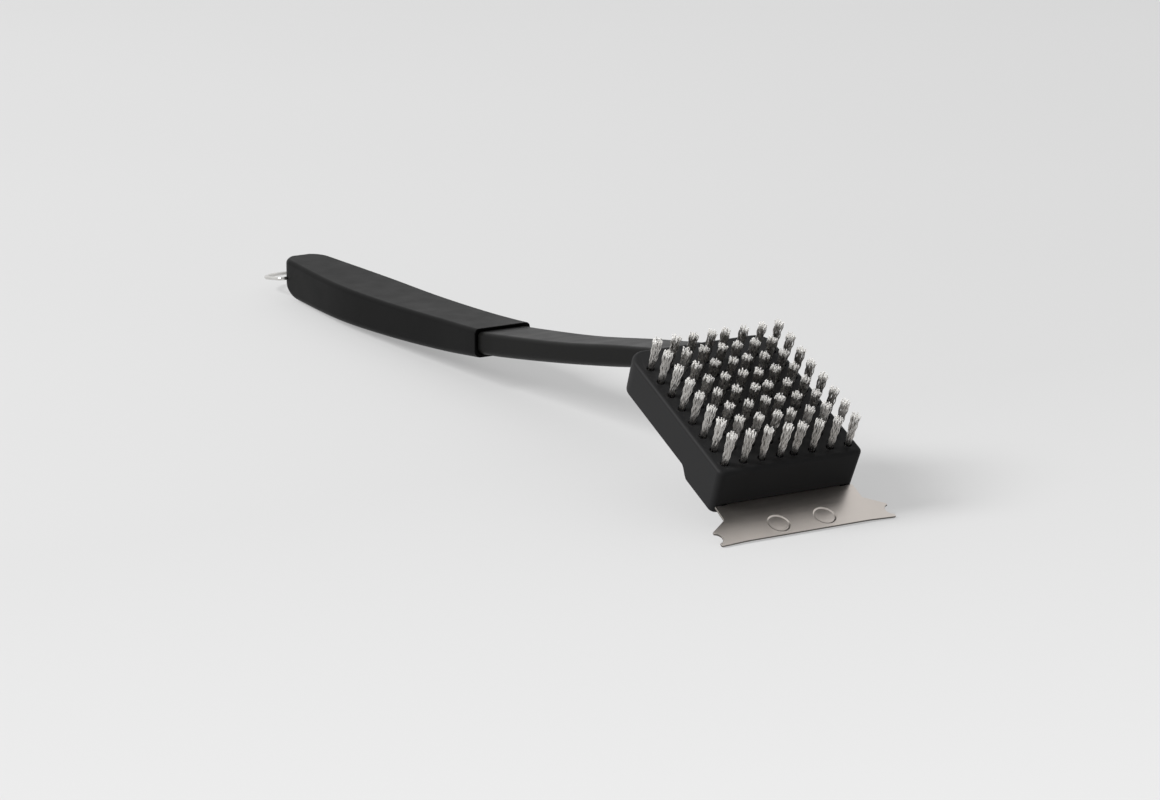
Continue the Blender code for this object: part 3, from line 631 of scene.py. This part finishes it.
def tube_arrays(lines, radii, sides, first_axis):
    """Vertices and faces of closed tubes along centre lines, an array (tube, point, xyz)."""
    tangent = np.gradient(lines, axis=1)
    tangent /= np.linalg.norm(tangent, axis=2, keepdims=True)
    across = first_axis - tangent * (tangent @ first_axis)[..., None]
    across /= np.linalg.norm(across, axis=2, keepdims=True)
    other = np.cross(tangent, across)
    turn = np.arange(sides) * 2 * math.pi / sides
    ring = (across[:, :, None] * np.cos(turn)[None, None, :, None]
            + other[:, :, None] * np.sin(turn)[None, None, :, None])
    points = lines[:, :, None] + ring * radii[:, None, None, None]
    tubes, rows = lines.shape[:2]
    index = np.arange(tubes * rows * sides).reshape(tubes, rows, sides)
    after = np.roll(index, -1, axis=2)
    walls = np.stack((index[:, :-1], after[:, :-1], after[:, 1:], index[:, 1:]), axis=-1)
    return points.reshape(-1, 3), walls.reshape(-1, 4), index[:, 0, ::-1], index[:, -1]


def either_way(rng, most):
    return rng.uniform(-most, most)


def wires_of_tuft(rng, x, y):
    """Centre lines of one tuft's crimped wires, from its hole to its cut tips.

    The wires are spread over the tuft like the seeds of a sunflower, and every second one
    waves against its neighbours.
    """
    lean = (either_way(rng, TUFT_LEAN), either_way(rng, TUFT_LEAN))
    plane = CRIMP_PLANE + either_way(rng, PLANE_SCATTER)
    phase = rng.uniform(0, 2 * math.pi)
    lines = []
    for i in range(WIRES):
        share = math.sqrt((i + 0.5) / WIRES)
        angle = i * math.pi * (3 - math.sqrt(5)) + either_way(rng, TURN_SCATTER)
        root = share * (ROOT_SPREAD - WIRE_RADIUS)
        tip = share * TIP_SPREAD + either_way(rng, TIP_SCATTER)
        family = phase + math.pi * (i % 2) + either_way(rng, PHASE_SCATTER)
        bend = plane + either_way(rng, BEND_SCATTER)
        pitch = CRIMP_PITCH * rng.uniform(*PITCH_SCATTER)
        top = TUFT_HEIGHT + rng.uniform(*LENGTH_SCATTER)
        line = []
        heights = [WIRE_FOOT] + [top * k / WIRE_SEGMENTS for k in range(WIRE_SEGMENTS + 1)]
        for z in heights:
            rise = max(z, 0.0) / TUFT_HEIGHT
            out = root + (tip - root) * rise ** SPREAD_POWER
            wave = CRIMP * min(1.0, rise * CRIMP_RISE) * math.sin(family + 2 * math.pi * z / pitch)
            line.append((x + out * math.cos(angle) + wave * math.cos(bend) + lean[0] * max(z, 0),
                         y + out * math.sin(angle) + wave * math.sin(bend) + lean[1] * max(z, 0),
                         z))
        lines.append(line)
    return lines


def make_tuft_row(number, x):
    rng = random.Random(100 + number)
    lines = []
    for y in column_positions():
        lines += wires_of_tuft(rng, x, y)
    lines = np.array(lines)
    radii = np.full(len(lines), WIRE_RADIUS)
    points, walls, feet, tips = tube_arrays(lines, radii, WIRE_SIDES, np.array((1.0, 0, 0)))
    reach = column_positions()[-1] + 1.0
    bar = np.array([[(x, -reach + 2 * reach * k / 4, ANCHOR_AT) for k in range(5)]])
    bar_points, bar_walls, bar_foot, bar_tip = tube_arrays(
        bar, np.array([ANCHOR_RADIUS]), ANCHOR_SIDES, np.array((1.0, 0, 0)))
    shift = len(points)
    matrix = np.array(IN_HEAD)
    points = np.vstack((points, bar_points)) @ matrix[:3, :3].T + matrix[:3, 3]
    faces = walls.tolist() + feet.tolist() + tips.tolist()
    faces += (bar_walls + shift).tolist() + (bar_foot + shift).tolist() + (bar_tip + shift).tolist()
    mesh = bpy.data.meshes.new("tuft_wires")
    mesh.from_pydata(points.tolist(), [], faces)
    soften(mesh, 50)
    # The cut ends and the last segments of each wire get the near-white steel: painted highlight on
    # the tips.
    first_tip = len(walls) + len(feet)
    for face in mesh.polygons[first_tip:first_tip + len(tips)]:
        face.material_index = 1
    in_wire = (WIRE_SEGMENTS + 1) * WIRE_SIDES
    for index in range(len(walls)):
        if index % in_wire >= in_wire - PAINTED_HIGHLIGHT_SEGMENTS * WIRE_SIDES:
            mesh.polygons[index].material_index = 1
    place("tuft_wires_%d" % number, mesh, (BRISTLE_STEEL, CUT_ENDS_AND_PAINTED_HIGHLIGHT), "brush", "bristle_wire",
          "tuft_row_%d" % number)


# ---------------------------------------------------------------- scraper

def rounded(corners, steps=6):
    """Polygon of (x, y, radius) corners with each corner drawn as an arc of its radius."""
    points = []
    for i, (x, y, radius) in enumerate(corners):
        here = Vector((x, y))
        before = Vector(corners[i - 1][:2]) - here
        after = Vector(corners[(i + 1) % len(corners)][:2]) - here
        if radius <= 0 or before.length < 0.001 or after.length < 0.001:
            points.append((x, y))
            continue
        before.normalize()
        after.normalize()
        half = before.angle(after) / 2
        back = radius / math.tan(half)
        centre = here + (before + after).normalized() * (radius / math.sin(half))
        start, stop = here + before * back - centre, here + after * back - centre
        for k in range(steps + 1):
            spoke = start.lerp(stop, k / steps).normalized() * radius
            points.append(tuple(centre + spoke))
    return points


def blade_outline():
    """Blade outline seen from above, counter-clockwise, in the blade's flat state."""
    front, wide = HEAD_FRONT, BLADE_HALF_WIDTH
    shoulder = front + GAP
    notch = arc((front + BLADE_NOTCH_AT, wide), BLADE_NOTCH_RADIUS, -172, -8, 16)
    half = [(TANG_REAR, TANG_HALF_WIDTH - TANG_CHAMFER, 0.5),
            (TANG_REAR + TANG_CHAMFER, TANG_HALF_WIDTH, 0.5),
            (shoulder, TANG_HALF_WIDTH, 0), (shoulder, BLADE_SHOULDER, 0.4),
            (front + BLADE_WAIST[0], BLADE_WAIST[1], 0.7),
            (front + BLADE_EAR[0], BLADE_EAR[1], 0.35)]
    half += [(x, y, 0) for x, y in notch]
    edge = front + BLADE_REACH
    half += [(edge, wide, 0.6), (edge - BLADE_HOLLOW[1], wide - BLADE_HOLLOW[0], 60.0)]
    return rounded(half + [(x, -y, r) for x, y, r in reversed(half)])[::-1]


def inset_outline(points, distance):
    """The outline moved inwards by a small distance."""
    moved = []
    for i, point in enumerate(points):
        here = Vector(point)
        along = (Vector(points[(i + 1) % len(points)]) - here).normalized()
        before = (here - Vector(points[i - 1])).normalized()
        normal = Vector((along.y, -along.x)) + Vector((before.y, -before.x))
        normal.normalize()
        cosine = max(normal.dot(Vector((along.y, -along.x))), 0.5)
        moved.append(tuple(here - normal * distance / cosine))
    return moved


def dimple_profile():
    """(radius, height) of a pressed dimple from its outer edge to near its middle."""
    points = []
    for i in range(13):
        t = i / 12
        radius = DIMPLE_RADIUS + (DIMPLE_FLOOR_RADIUS - DIMPLE_RADIUS) * t
        points.append((radius, -DIMPLE_DEPTH * (1 - math.cos(math.pi * t)) / 2))
    for radius in DIMPLE_FLOOR_RINGS:
        lift = DIMPLE_CROWN * (1 - (radius / DIMPLE_FLOOR_RADIUS) ** 2)
        points.append((radius, lift - DIMPLE_DEPTH))
    return points


def blade_walls(bm, outline):
    """The blade's edge, rounded above and below: loops of vertices, bottom face's first."""
    half, edge = BLADE_THICKNESS / 2, BLADE_EDGE_ROUND
    loops = []
    for side in (-1, 1):
        angles = (90, 60, 30, 0) if side < 0 else (0, 30, 60, 90)
        for angle in angles:
            a = math.radians(angle)
            ring = inset_outline(outline, edge * (1 - math.cos(a)))
            z = side * (half - edge * (1 - math.sin(a)))
            loops.append([bm.verts.new((x, y, z)) for x, y in ring])
    for step, (lower, upper) in enumerate(zip(loops, loops[1:])):
        for i in range(len(lower)):
            j = (i + 1) % len(lower)
            face = bm.faces.new((lower[i], lower[j], upper[j], upper[i]))
            # The lower strips get the sheared-edge steel, which is painted dark as shade.
            face.material_index = 1 if step < PAINTED_SHADE_STRIPS else 0
    return loops


def dimple_into(bm, across, height):
    """One face of a pressed dimple, and the ring of vertices round it."""
    rings = []
    for radius, lift in dimple_profile():
        ring = []
        for i in range(DIMPLE_SIDES):
            a = 2 * math.pi * i / DIMPLE_SIDES
            ring.append(bm.verts.new((HEAD_FRONT + DIMPLE_AT[0] + radius * math.cos(a),
                                      across + radius * math.sin(a), height + lift)))
        rings.append(ring)
    for outer, inner in zip(rings, rings[1:]):
        for i in range(DIMPLE_SIDES):
            j = (i + 1) % DIMPLE_SIDES
            bm.faces.new((outer[i], outer[j], inner[j], inner[i]))
    bm.faces.new(rings[-1])
    return rings[0]


def fill_between(bm, loops):
    """Flat face inside the first loop and outside the others."""
    edges = []
    for loop in loops:
        for i, vert in enumerate(loop):
            other = loop[(i + 1) % len(loop)]
            edges.append(bm.edges.get((vert, other)) or bm.edges.new((vert, other)))
    bmesh.ops.triangle_fill(bm, edges=edges, use_beauty=True, use_dissolve=False)


def droop(bm):
    """Bend the blade down in front of the head, about the top of its slot."""
    half, bend = BLADE_THICKNESS / 2, HEAD_FRONT + GAP
    bmesh.ops.bisect_plane(bm, geom=bm.verts[:] + bm.edges[:] + bm.faces[:], dist=0.001,
                           plane_co=(bend, 0, 0), plane_no=(1, 0, 0))
    turn = Matrix.Rotation(BLADE_DROOP, 4, "Y")
    pivot = Vector((bend, 0, half))
    for vert in bm.verts:
        if vert.co.x > bend + 0.001:
            vert.co = pivot + turn @ (vert.co - pivot)
    bmesh.ops.translate(bm, verts=bm.verts, vec=(0, 0, BLADE_TOP - half))


def make_scraper():
    bm = bmesh.new()
    loops = blade_walls(bm, blade_outline())
    for side, border in ((-1, loops[0]), (1, loops[-1])):
        dimples = [dimple_into(bm, y, side * BLADE_THICKNESS / 2)
                   for y in (DIMPLE_AT[1], -DIMPLE_AT[1])]
        fill_between(bm, [border] + dimples)
    droop(bm)
    mesh = finish_mesh(bm, "scraper", IN_HEAD, 50)
    weigh_normals(place("scraper", mesh, (BLADE_STEEL, SHEARED_EDGE_PAINTED_SHADE), "brush", "satin_steel",
                        "scraper_blade"))


# ---------------------------------------------------------------- screws

def cross_ring(reach, up):
    """Outline of a screwdriver's cross at a height."""
    arm = ((reach, -CROSS_HALF_WIDTH), (reach, CROSS_HALF_WIDTH),
           (CROSS_HALF_WIDTH, CROSS_HALF_WIDTH))
    ring = []
    for cosine, sine in ((1, 0), (0, 1), (-1, 0), (0, -1)):
        ring += [(x * cosine - y * sine, x * sine + y * cosine, up) for x, y in arm]
    return ring


def screw_mesh(head_low, head_high, tip):
    """A pan head with a cross recess on a threaded shank, pointing up the head's z axis."""
    height = head_high - head_low
    wide = SCREW_HEAD_RADIUS
    profile = [(0.05, tip), (0.5, tip - 0.3), (THREAD_ROOT, tip - 1.1)]
    turns = int((tip - 1.2 - head_high) / THREAD_PITCH)
    for i in range(turns):
        z = tip - 1.2 - THREAD_PITCH * i
        profile += [(THREAD_ROOT, z), (SHANK_RADIUS, z - 0.3), (THREAD_ROOT, z - 0.6)]
    profile += [(THREAD_ROOT, head_high), (wide - 0.1, head_high), (wide, head_high - 0.1)]
    for step in range(7):
        a = math.radians(90 * step / 6)
        profile.append((wide - 0.9 + 0.9 * math.cos(a),
                        head_low + height * 0.55 * (1 - math.sin(a))))
    profile.append((0.05, head_low))
    bm = bmesh.new()
    lathe_into(bm, profile, (0, 0, 0), SCREW_SIDES)
    mesh = finish_mesh(bm, "screw", Matrix(), 40)
    recess = skin_rings([cross_ring(CROSS_REACH[0], head_low - 0.5),
                         cross_ring(CROSS_REACH[1], head_low + height * CROSS_DEPTH)])
    mesh = cut(mesh, (recess,), Matrix())
    mesh.transform(Matrix.Scale(MM, 4))
    return soften(mesh, 40)


def make_screws():
    kinds = (("cover_screw", COVER_SCREW_AT, COVER_BOTTOM + COVER_HEAD_INSET,
              COVER_BOTTOM + COVER_COUNTERBORE - GAP, COVER_PILOT_TOP - TIP_ROOM, 20),
             ("scraper_screw", BLADE_SCREW_AT, BLADE_HEAD_INSET - JAW_DEPTH,
              BLADE_COUNTERBORE - GAP - JAW_DEPTH, BLADE_PILOT_TOP - TIP_ROOM, 65),
             ("arm_screw", ARM_SCREW_AT, TONGUE_BOTTOM - GAP - ARM_HEAD_HEIGHT,
              TONGUE_BOTTOM - GAP, ARM_PILOT_TOP - TIP_ROOM, 40))
    for name, at, low, high, tip, angle in kinds:
        for side, word in ((1, "right"), (-1, "left")):
            mesh = screw_mesh(low, high, tip)
            turn = Matrix.Rotation(math.radians(angle * side), 4, "Z")
            move = Matrix.Translation(Vector((at[0], side * at[1], 0)) * MM)
            mesh.transform(HEAD @ move @ turn)
            node = "%s_%s" % (name, word)
            place("pan_" + node, mesh, (SCREW_STEEL,), "brush", "screw_steel", node)


# ---------------------------------------------------------------- handle

def station_value(behind, column):
    """Smooth value between the arm's stations (a Catmull-Rom curve)."""
    rows = ARM_STATIONS
    i = 0
    while i < len(rows) - 2 and behind > rows[i + 1][0]:
        i += 1
    x0, y0, x1, y1 = rows[i][0], rows[i][column], rows[i + 1][0], rows[i + 1][column]

    def slope(k):
        low, high = max(k - 1, 0), min(k + 1, len(rows) - 1)
        return (rows[high][column] - rows[low][column]) / (rows[high][0] - rows[low][0])
    span = x1 - x0
    t = (behind - x0) / span
    return ((2 * t ** 3 - 3 * t ** 2 + 1) * y0 + (t ** 3 - 2 * t ** 2 + t) * span * slope(i)
            + (3 * t ** 2 - 2 * t ** 3) * y1 + (t ** 3 - t ** 2) * span * slope(i + 1))


def rounding(distance, radius):
    """How far a quarter-round end draws in at a distance from its tip."""
    if distance >= radius:
        return 0.0
    return radius - math.sqrt(radius ** 2 - (radius - max(distance, 0)) ** 2)


def arm_ring(behind, offset=0.0, lean=0.0, skin=None):
    """Cross-section of the arm, or of a skin around it, as a rounded rectangle."""
    skin = offset if skin is None else skin
    from_end = ARM_END + offset - behind
    top = station_value(behind, 1) + skin - rounding(from_end, END_TOP_ROUND + offset)
    bottom = station_value(behind, 2) - skin + rounding(from_end, END_BOTTOM_ROUND + offset)
    half = station_value(behind, 3) + skin - rounding(from_end, END_PLAN_ROUND + offset)
    room = min((top - bottom) / 2.2, half * 0.95)
    top_radius = min(ARM_TOP_CORNER, room)
    bottom_radius = min(ARM_BOTTOM_CORNER, room)
    points = []
    for y, z, radius, start in ((half - top_radius, top - top_radius, top_radius, 0),
                                (top_radius - half, top - top_radius, top_radius, 90),
                                (bottom_radius - half, bottom + bottom_radius, bottom_radius, 180),
                                (half - bottom_radius, bottom + bottom_radius, bottom_radius, 270)):
        points += arc((y, z), radius, start, start + 90, CORNER_STEPS)
    middle = (top + bottom) / 2
    return [(HEAD_X - behind + (z - middle) * math.tan(lean), y, z) for y, z in points]


def end_stations(offset, steps):
    """Stations round the closed end, tip first, spaced evenly along its quarter circle."""
    radius = END_ROUND + offset
    angles = [math.radians(2 + 88 * i / steps) for i in range(steps + 1)]
    return [ARM_END + offset - radius * (1 - math.cos(a)) for a in angles]


def run_stations(start, stop):
    steps = max(1, round(abs(stop - start) / STATION_PITCH))
    return [start + (stop - start) * i / steps for i in range(1, steps + 1)]


def in_head_plane(along, up):
    """Row x and z, in mm, of a point given in the head frame."""
    point = HEAD @ Vector((along * MM, 0, up * MM)) / MM
    return point.x, point.z


def tongue_ring(along):
    """Chamfered rectangle of the tongue, with as many points as an arm section."""
    points = []
    middle = (TONGUE_TOP + TONGUE_BOTTOM) / 2
    for side_y, up in ((TONGUE_HALF_WIDTH, TONGUE_TOP), (-TONGUE_HALF_WIDTH, TONGUE_TOP),
                       (-TONGUE_HALF_WIDTH, TONGUE_BOTTOM), (TONGUE_HALF_WIDTH, TONGUE_BOTTOM)):
        inward_y = -math.copysign(TONGUE_CHAMFER, side_y)
        inward_z = -TONGUE_CHAMFER if up == TONGUE_TOP else TONGUE_CHAMFER
        first, last = ((side_y, up + inward_z), (side_y + inward_y, up))
        if side_y * (up - middle) < 0:
            first, last = last, first
        for i in range(CORNER_STEPS + 1):
            t = i / CORNER_STEPS
            points.append((first[0] + (last[0] - first[0]) * t,
                           first[1] + (last[1] - first[1]) * t))
    ring = []
    for y, z in points:
        x_row, z_row = in_head_plane(along, z)
        ring.append((x_row, y, z_row))
    return ring


def cross_hole():
    """Cutter for the loop's hole across the handle."""
    bm = bmesh.new()
    profile = ((LOOP_HOLE_RADIUS, -LOOP_HOLE_REACH), (LOOP_HOLE_RADIUS, LOOP_HOLE_REACH))
    lathe_into(bm, profile, (HEAD_X - LOOP_HOLE, 0, LOOP_HOLE_HEIGHT), LOOP_HOLE_SIDES,
               Matrix.Rotation(math.pi / 2, 4, "X"))
    return bm


def make_arm():
    rings = [arm_ring(b) for b in end_stations(0.0, 10)]
    rings += [arm_ring(b) for b in run_stations(ARM_END - END_ROUND, LEAN_START)]
    joint = HEAD_X - in_head_plane(HEAD_REAR - GAP, ARM_JOINT_UP)[0]
    for b in run_stations(LEAN_START, joint):
        rings.append(arm_ring(b, lean=HEAD_TILT * (LEAN_START - b) / (LEAN_START - joint)))
    rings += [tongue_ring(HEAD_REAR - GAP), tongue_ring(TONGUE_END)]
    mesh = finish_mesh(skin_rings(rings), "handle_core", IN_ROW)
    mesh = cut(mesh, (cross_hole(),), IN_ROW)
    weigh_normals(place("handle_core", soften(mesh), (ARM_PLASTIC_PAINTED_SHADE,), "brush", "arm_plastic",
                        "handle_arm"))


def make_grip():
    last = ARM_END - END_ROUND
    outer = [arm_ring(b, GRIP_SKIN) for b in end_stations(GRIP_SKIN, 14)]
    outer += [arm_ring(b, GRIP_SKIN) for b in run_stations(last, GRIP_RIM + RIM_EDGE)]
    for step in range(1, 5):
        a = math.radians(90 * step / 4)
        skin = GRIP_SKIN - RIM_EDGE * (1 - math.cos(a))
        outer.append(arm_ring(GRIP_RIM + RIM_EDGE * (1 - math.sin(a)), GRIP_SKIN, skin=skin))
    inner = [arm_ring(b, GAP) for b in end_stations(GAP, 10)]
    inner += [arm_ring(b, GAP) for b in run_stations(last, GRIP_RIM)]
    mesh = finish_mesh(skin_rings(outer + inner[::-1]), "grip", IN_ROW)
    mesh = cut(mesh, (cross_hole(),), IN_ROW)
    weigh_normals(place("grip", soften(mesh), (SOFT_GRIP_AND_PAINTED_SHADE,), "brush", "soft_grip", "grip_sleeve"))


# ---------------------------------------------------------------- hanging loop

def loop_points():
    """Centre line of the wire loop: distance behind the cross hole, and across."""
    corner = arc((LOOP_BEND, LOOP_BEND - LOOP_HALF_WIDTH), LOOP_BEND, 180, 270, 10)
    side = -LOOP_HALF_WIDTH
    half = [(0, -LOOP_PIN_END), (0, -LOOP_PIN_END - 2), (0, -LOOP_HALF_WIDTH + LOOP_BEND + 1)]
    half += corner + [(LOOP_BEND + 3, side), (LOOP_LEG - 3, side), (LOOP_LEG, side)]
    nose = [(LOOP_LEG + LOOP_HALF_WIDTH * math.sin(a), -LOOP_HALF_WIDTH * math.cos(a))
            for a in (math.radians(5 * i) for i in range(1, 36))]
    return half + nose + [(x, -y) for x, y in reversed(half)]


def make_loop():
    points = np.array([[(-x, y, 0.0) for x, y in loop_points()]])
    verts, walls, foot, tip = tube_arrays(points, np.array([LOOP_WIRE_RADIUS]), LOOP_WIRE_SIDES,
                                          np.array((0.0, 0.0, 1.0)))
    mesh = bpy.data.meshes.new("wire_loop")
    mesh.from_pydata(verts.tolist(), [], walls.tolist() + foot.tolist() + tip.tolist())
    hinge = Vector((HEAD_X - LOOP_HOLE, 0, LOOP_HOLE_HEIGHT))
    mesh.transform(IN_ROW @ Matrix.Translation(hinge) @ Matrix.Rotation(-LOOP_DROOP, 4, "Y"))
    place("wire_loop", soften(mesh, 50), (LOOP_STEEL,), "loop", "loop_wire", "hang_loop")


# ---------------------------------------------------------------- stage

def graded_value(nodes, links, space, towards, span, values):
    """A value that grows in one direction of a texture space."""
    coords = nodes.new("ShaderNodeTexCoord")
    along = nodes.new("ShaderNodeVectorMath")
    along.operation = "DOT_PRODUCT"
    along.inputs[1].default_value = towards
    graded = nodes.new("ShaderNodeMapRange")
    for name, value in zip(("From Min", "From Max", "To Min", "To Max"), (*span, *values)):
        graded.inputs[name].default_value = value
    links.new(coords.outputs[space], along.inputs[0])
    links.new(along.outputs["Value"], graded.inputs["Value"])
    return graded.outputs["Result"]


def make_floor():
    mat = bpy.data.materials.new("grey_floor_painted_light")
    nodes, links, shader = tree_of(mat)
    cloud = noise_node(nodes, links, 1.2, 2.0)
    links.new(ramp_node(nodes, links, cloud, *FLOOR_GREY), shader.inputs["Base Color"])
    # Painted light: the floor glows though it is no lamp. This lifts its shadows, and the glow
    # grows nearer the camera.
    glow = graded_value(nodes, links, "Object", FLOOR_FALL, FLOOR_SPAN, FLOOR_PAINTED_LIGHT)
    links.new(glow, shader.inputs["Emission Strength"])
    shader_value(shader, Roughness=0.85, Specular_IOR_Level=0.2, Emission_Color=(1, 1, 1, 1))
    bm = bmesh.new()
    bmesh.ops.create_grid(bm, x_segments=8, y_segments=8, size=FLOOR_REACH)
    mesh = bpy.data.meshes.new("floor")
    bm.to_mesh(mesh)
    bm.free()
    mesh.materials.append(mat)
    floor = bpy.data.objects.new("floor", mesh)
    bpy.context.scene.collection.objects.link(floor)
    floor.location.z = -FLOOR_DROP


def make_key_light():
    """The square lamp, which faces the brush."""
    data = bpy.data.lights.new("key", "AREA")
    data.shape = "SQUARE"
    data.size = KEY_SIZE
    data.energy = KEY_POWER
    lamp = bpy.data.objects.new("key", data)
    bpy.context.scene.collection.objects.link(lamp)
    direction = Vector(KEY_TOWARDS).normalized()
    lamp.location = Vector(KEY_TARGET) + direction * KEY_DISTANCE
    lamp.rotation_mode = "QUATERNION"
    lamp.rotation_quaternion = direction.to_track_quat("Z", "Y")


def make_surroundings():
    world = bpy.data.worlds.new("studio")
    world.use_nodes = True
    background = world.node_tree.nodes["Background"]
    background.inputs["Color"].default_value = (1.0, 1.0, 1.0, 1.0)
    nodes, links = world.node_tree.nodes, world.node_tree.links
    glow = graded_value(nodes, links, "Generated", SKY_TOWARDS, SKY_SPAN, SKY_GLOW)
    links.new(glow, background.inputs["Strength"])
    bpy.context.scene.world = world


def make_camera():
    data = bpy.data.cameras.new("camera")
    data.sensor_width = 36.0
    data.lens = LENS
    data.clip_start = 0.05
    data.clip_end = 50.0
    camera = bpy.data.objects.new("camera", data)
    bpy.context.scene.collection.objects.link(camera)
    az, el = VIEW_AZIMUTH, VIEW_ELEVATION
    right = Vector((math.sin(az), math.cos(az), 0))
    forward = Vector((-math.cos(el) * math.cos(az), math.cos(el) * math.sin(az), -math.sin(el)))
    up = right.cross(forward)
    turn = Matrix((right, up, -forward)).transposed().to_4x4()
    camera.matrix_world = Matrix.Translation(CAMERA_AT) @ turn
    bpy.context.scene.camera = camera
    bpy.context.scene.view_settings.view_transform = "Standard"


make_head()
make_cover()
for index, position in enumerate(ROWS):
    make_tuft_row(index + 1, position)
make_scraper()
make_screws()
make_arm()
make_grip()
make_loop()
make_floor()
make_surroundings()
make_key_light()
make_camera()
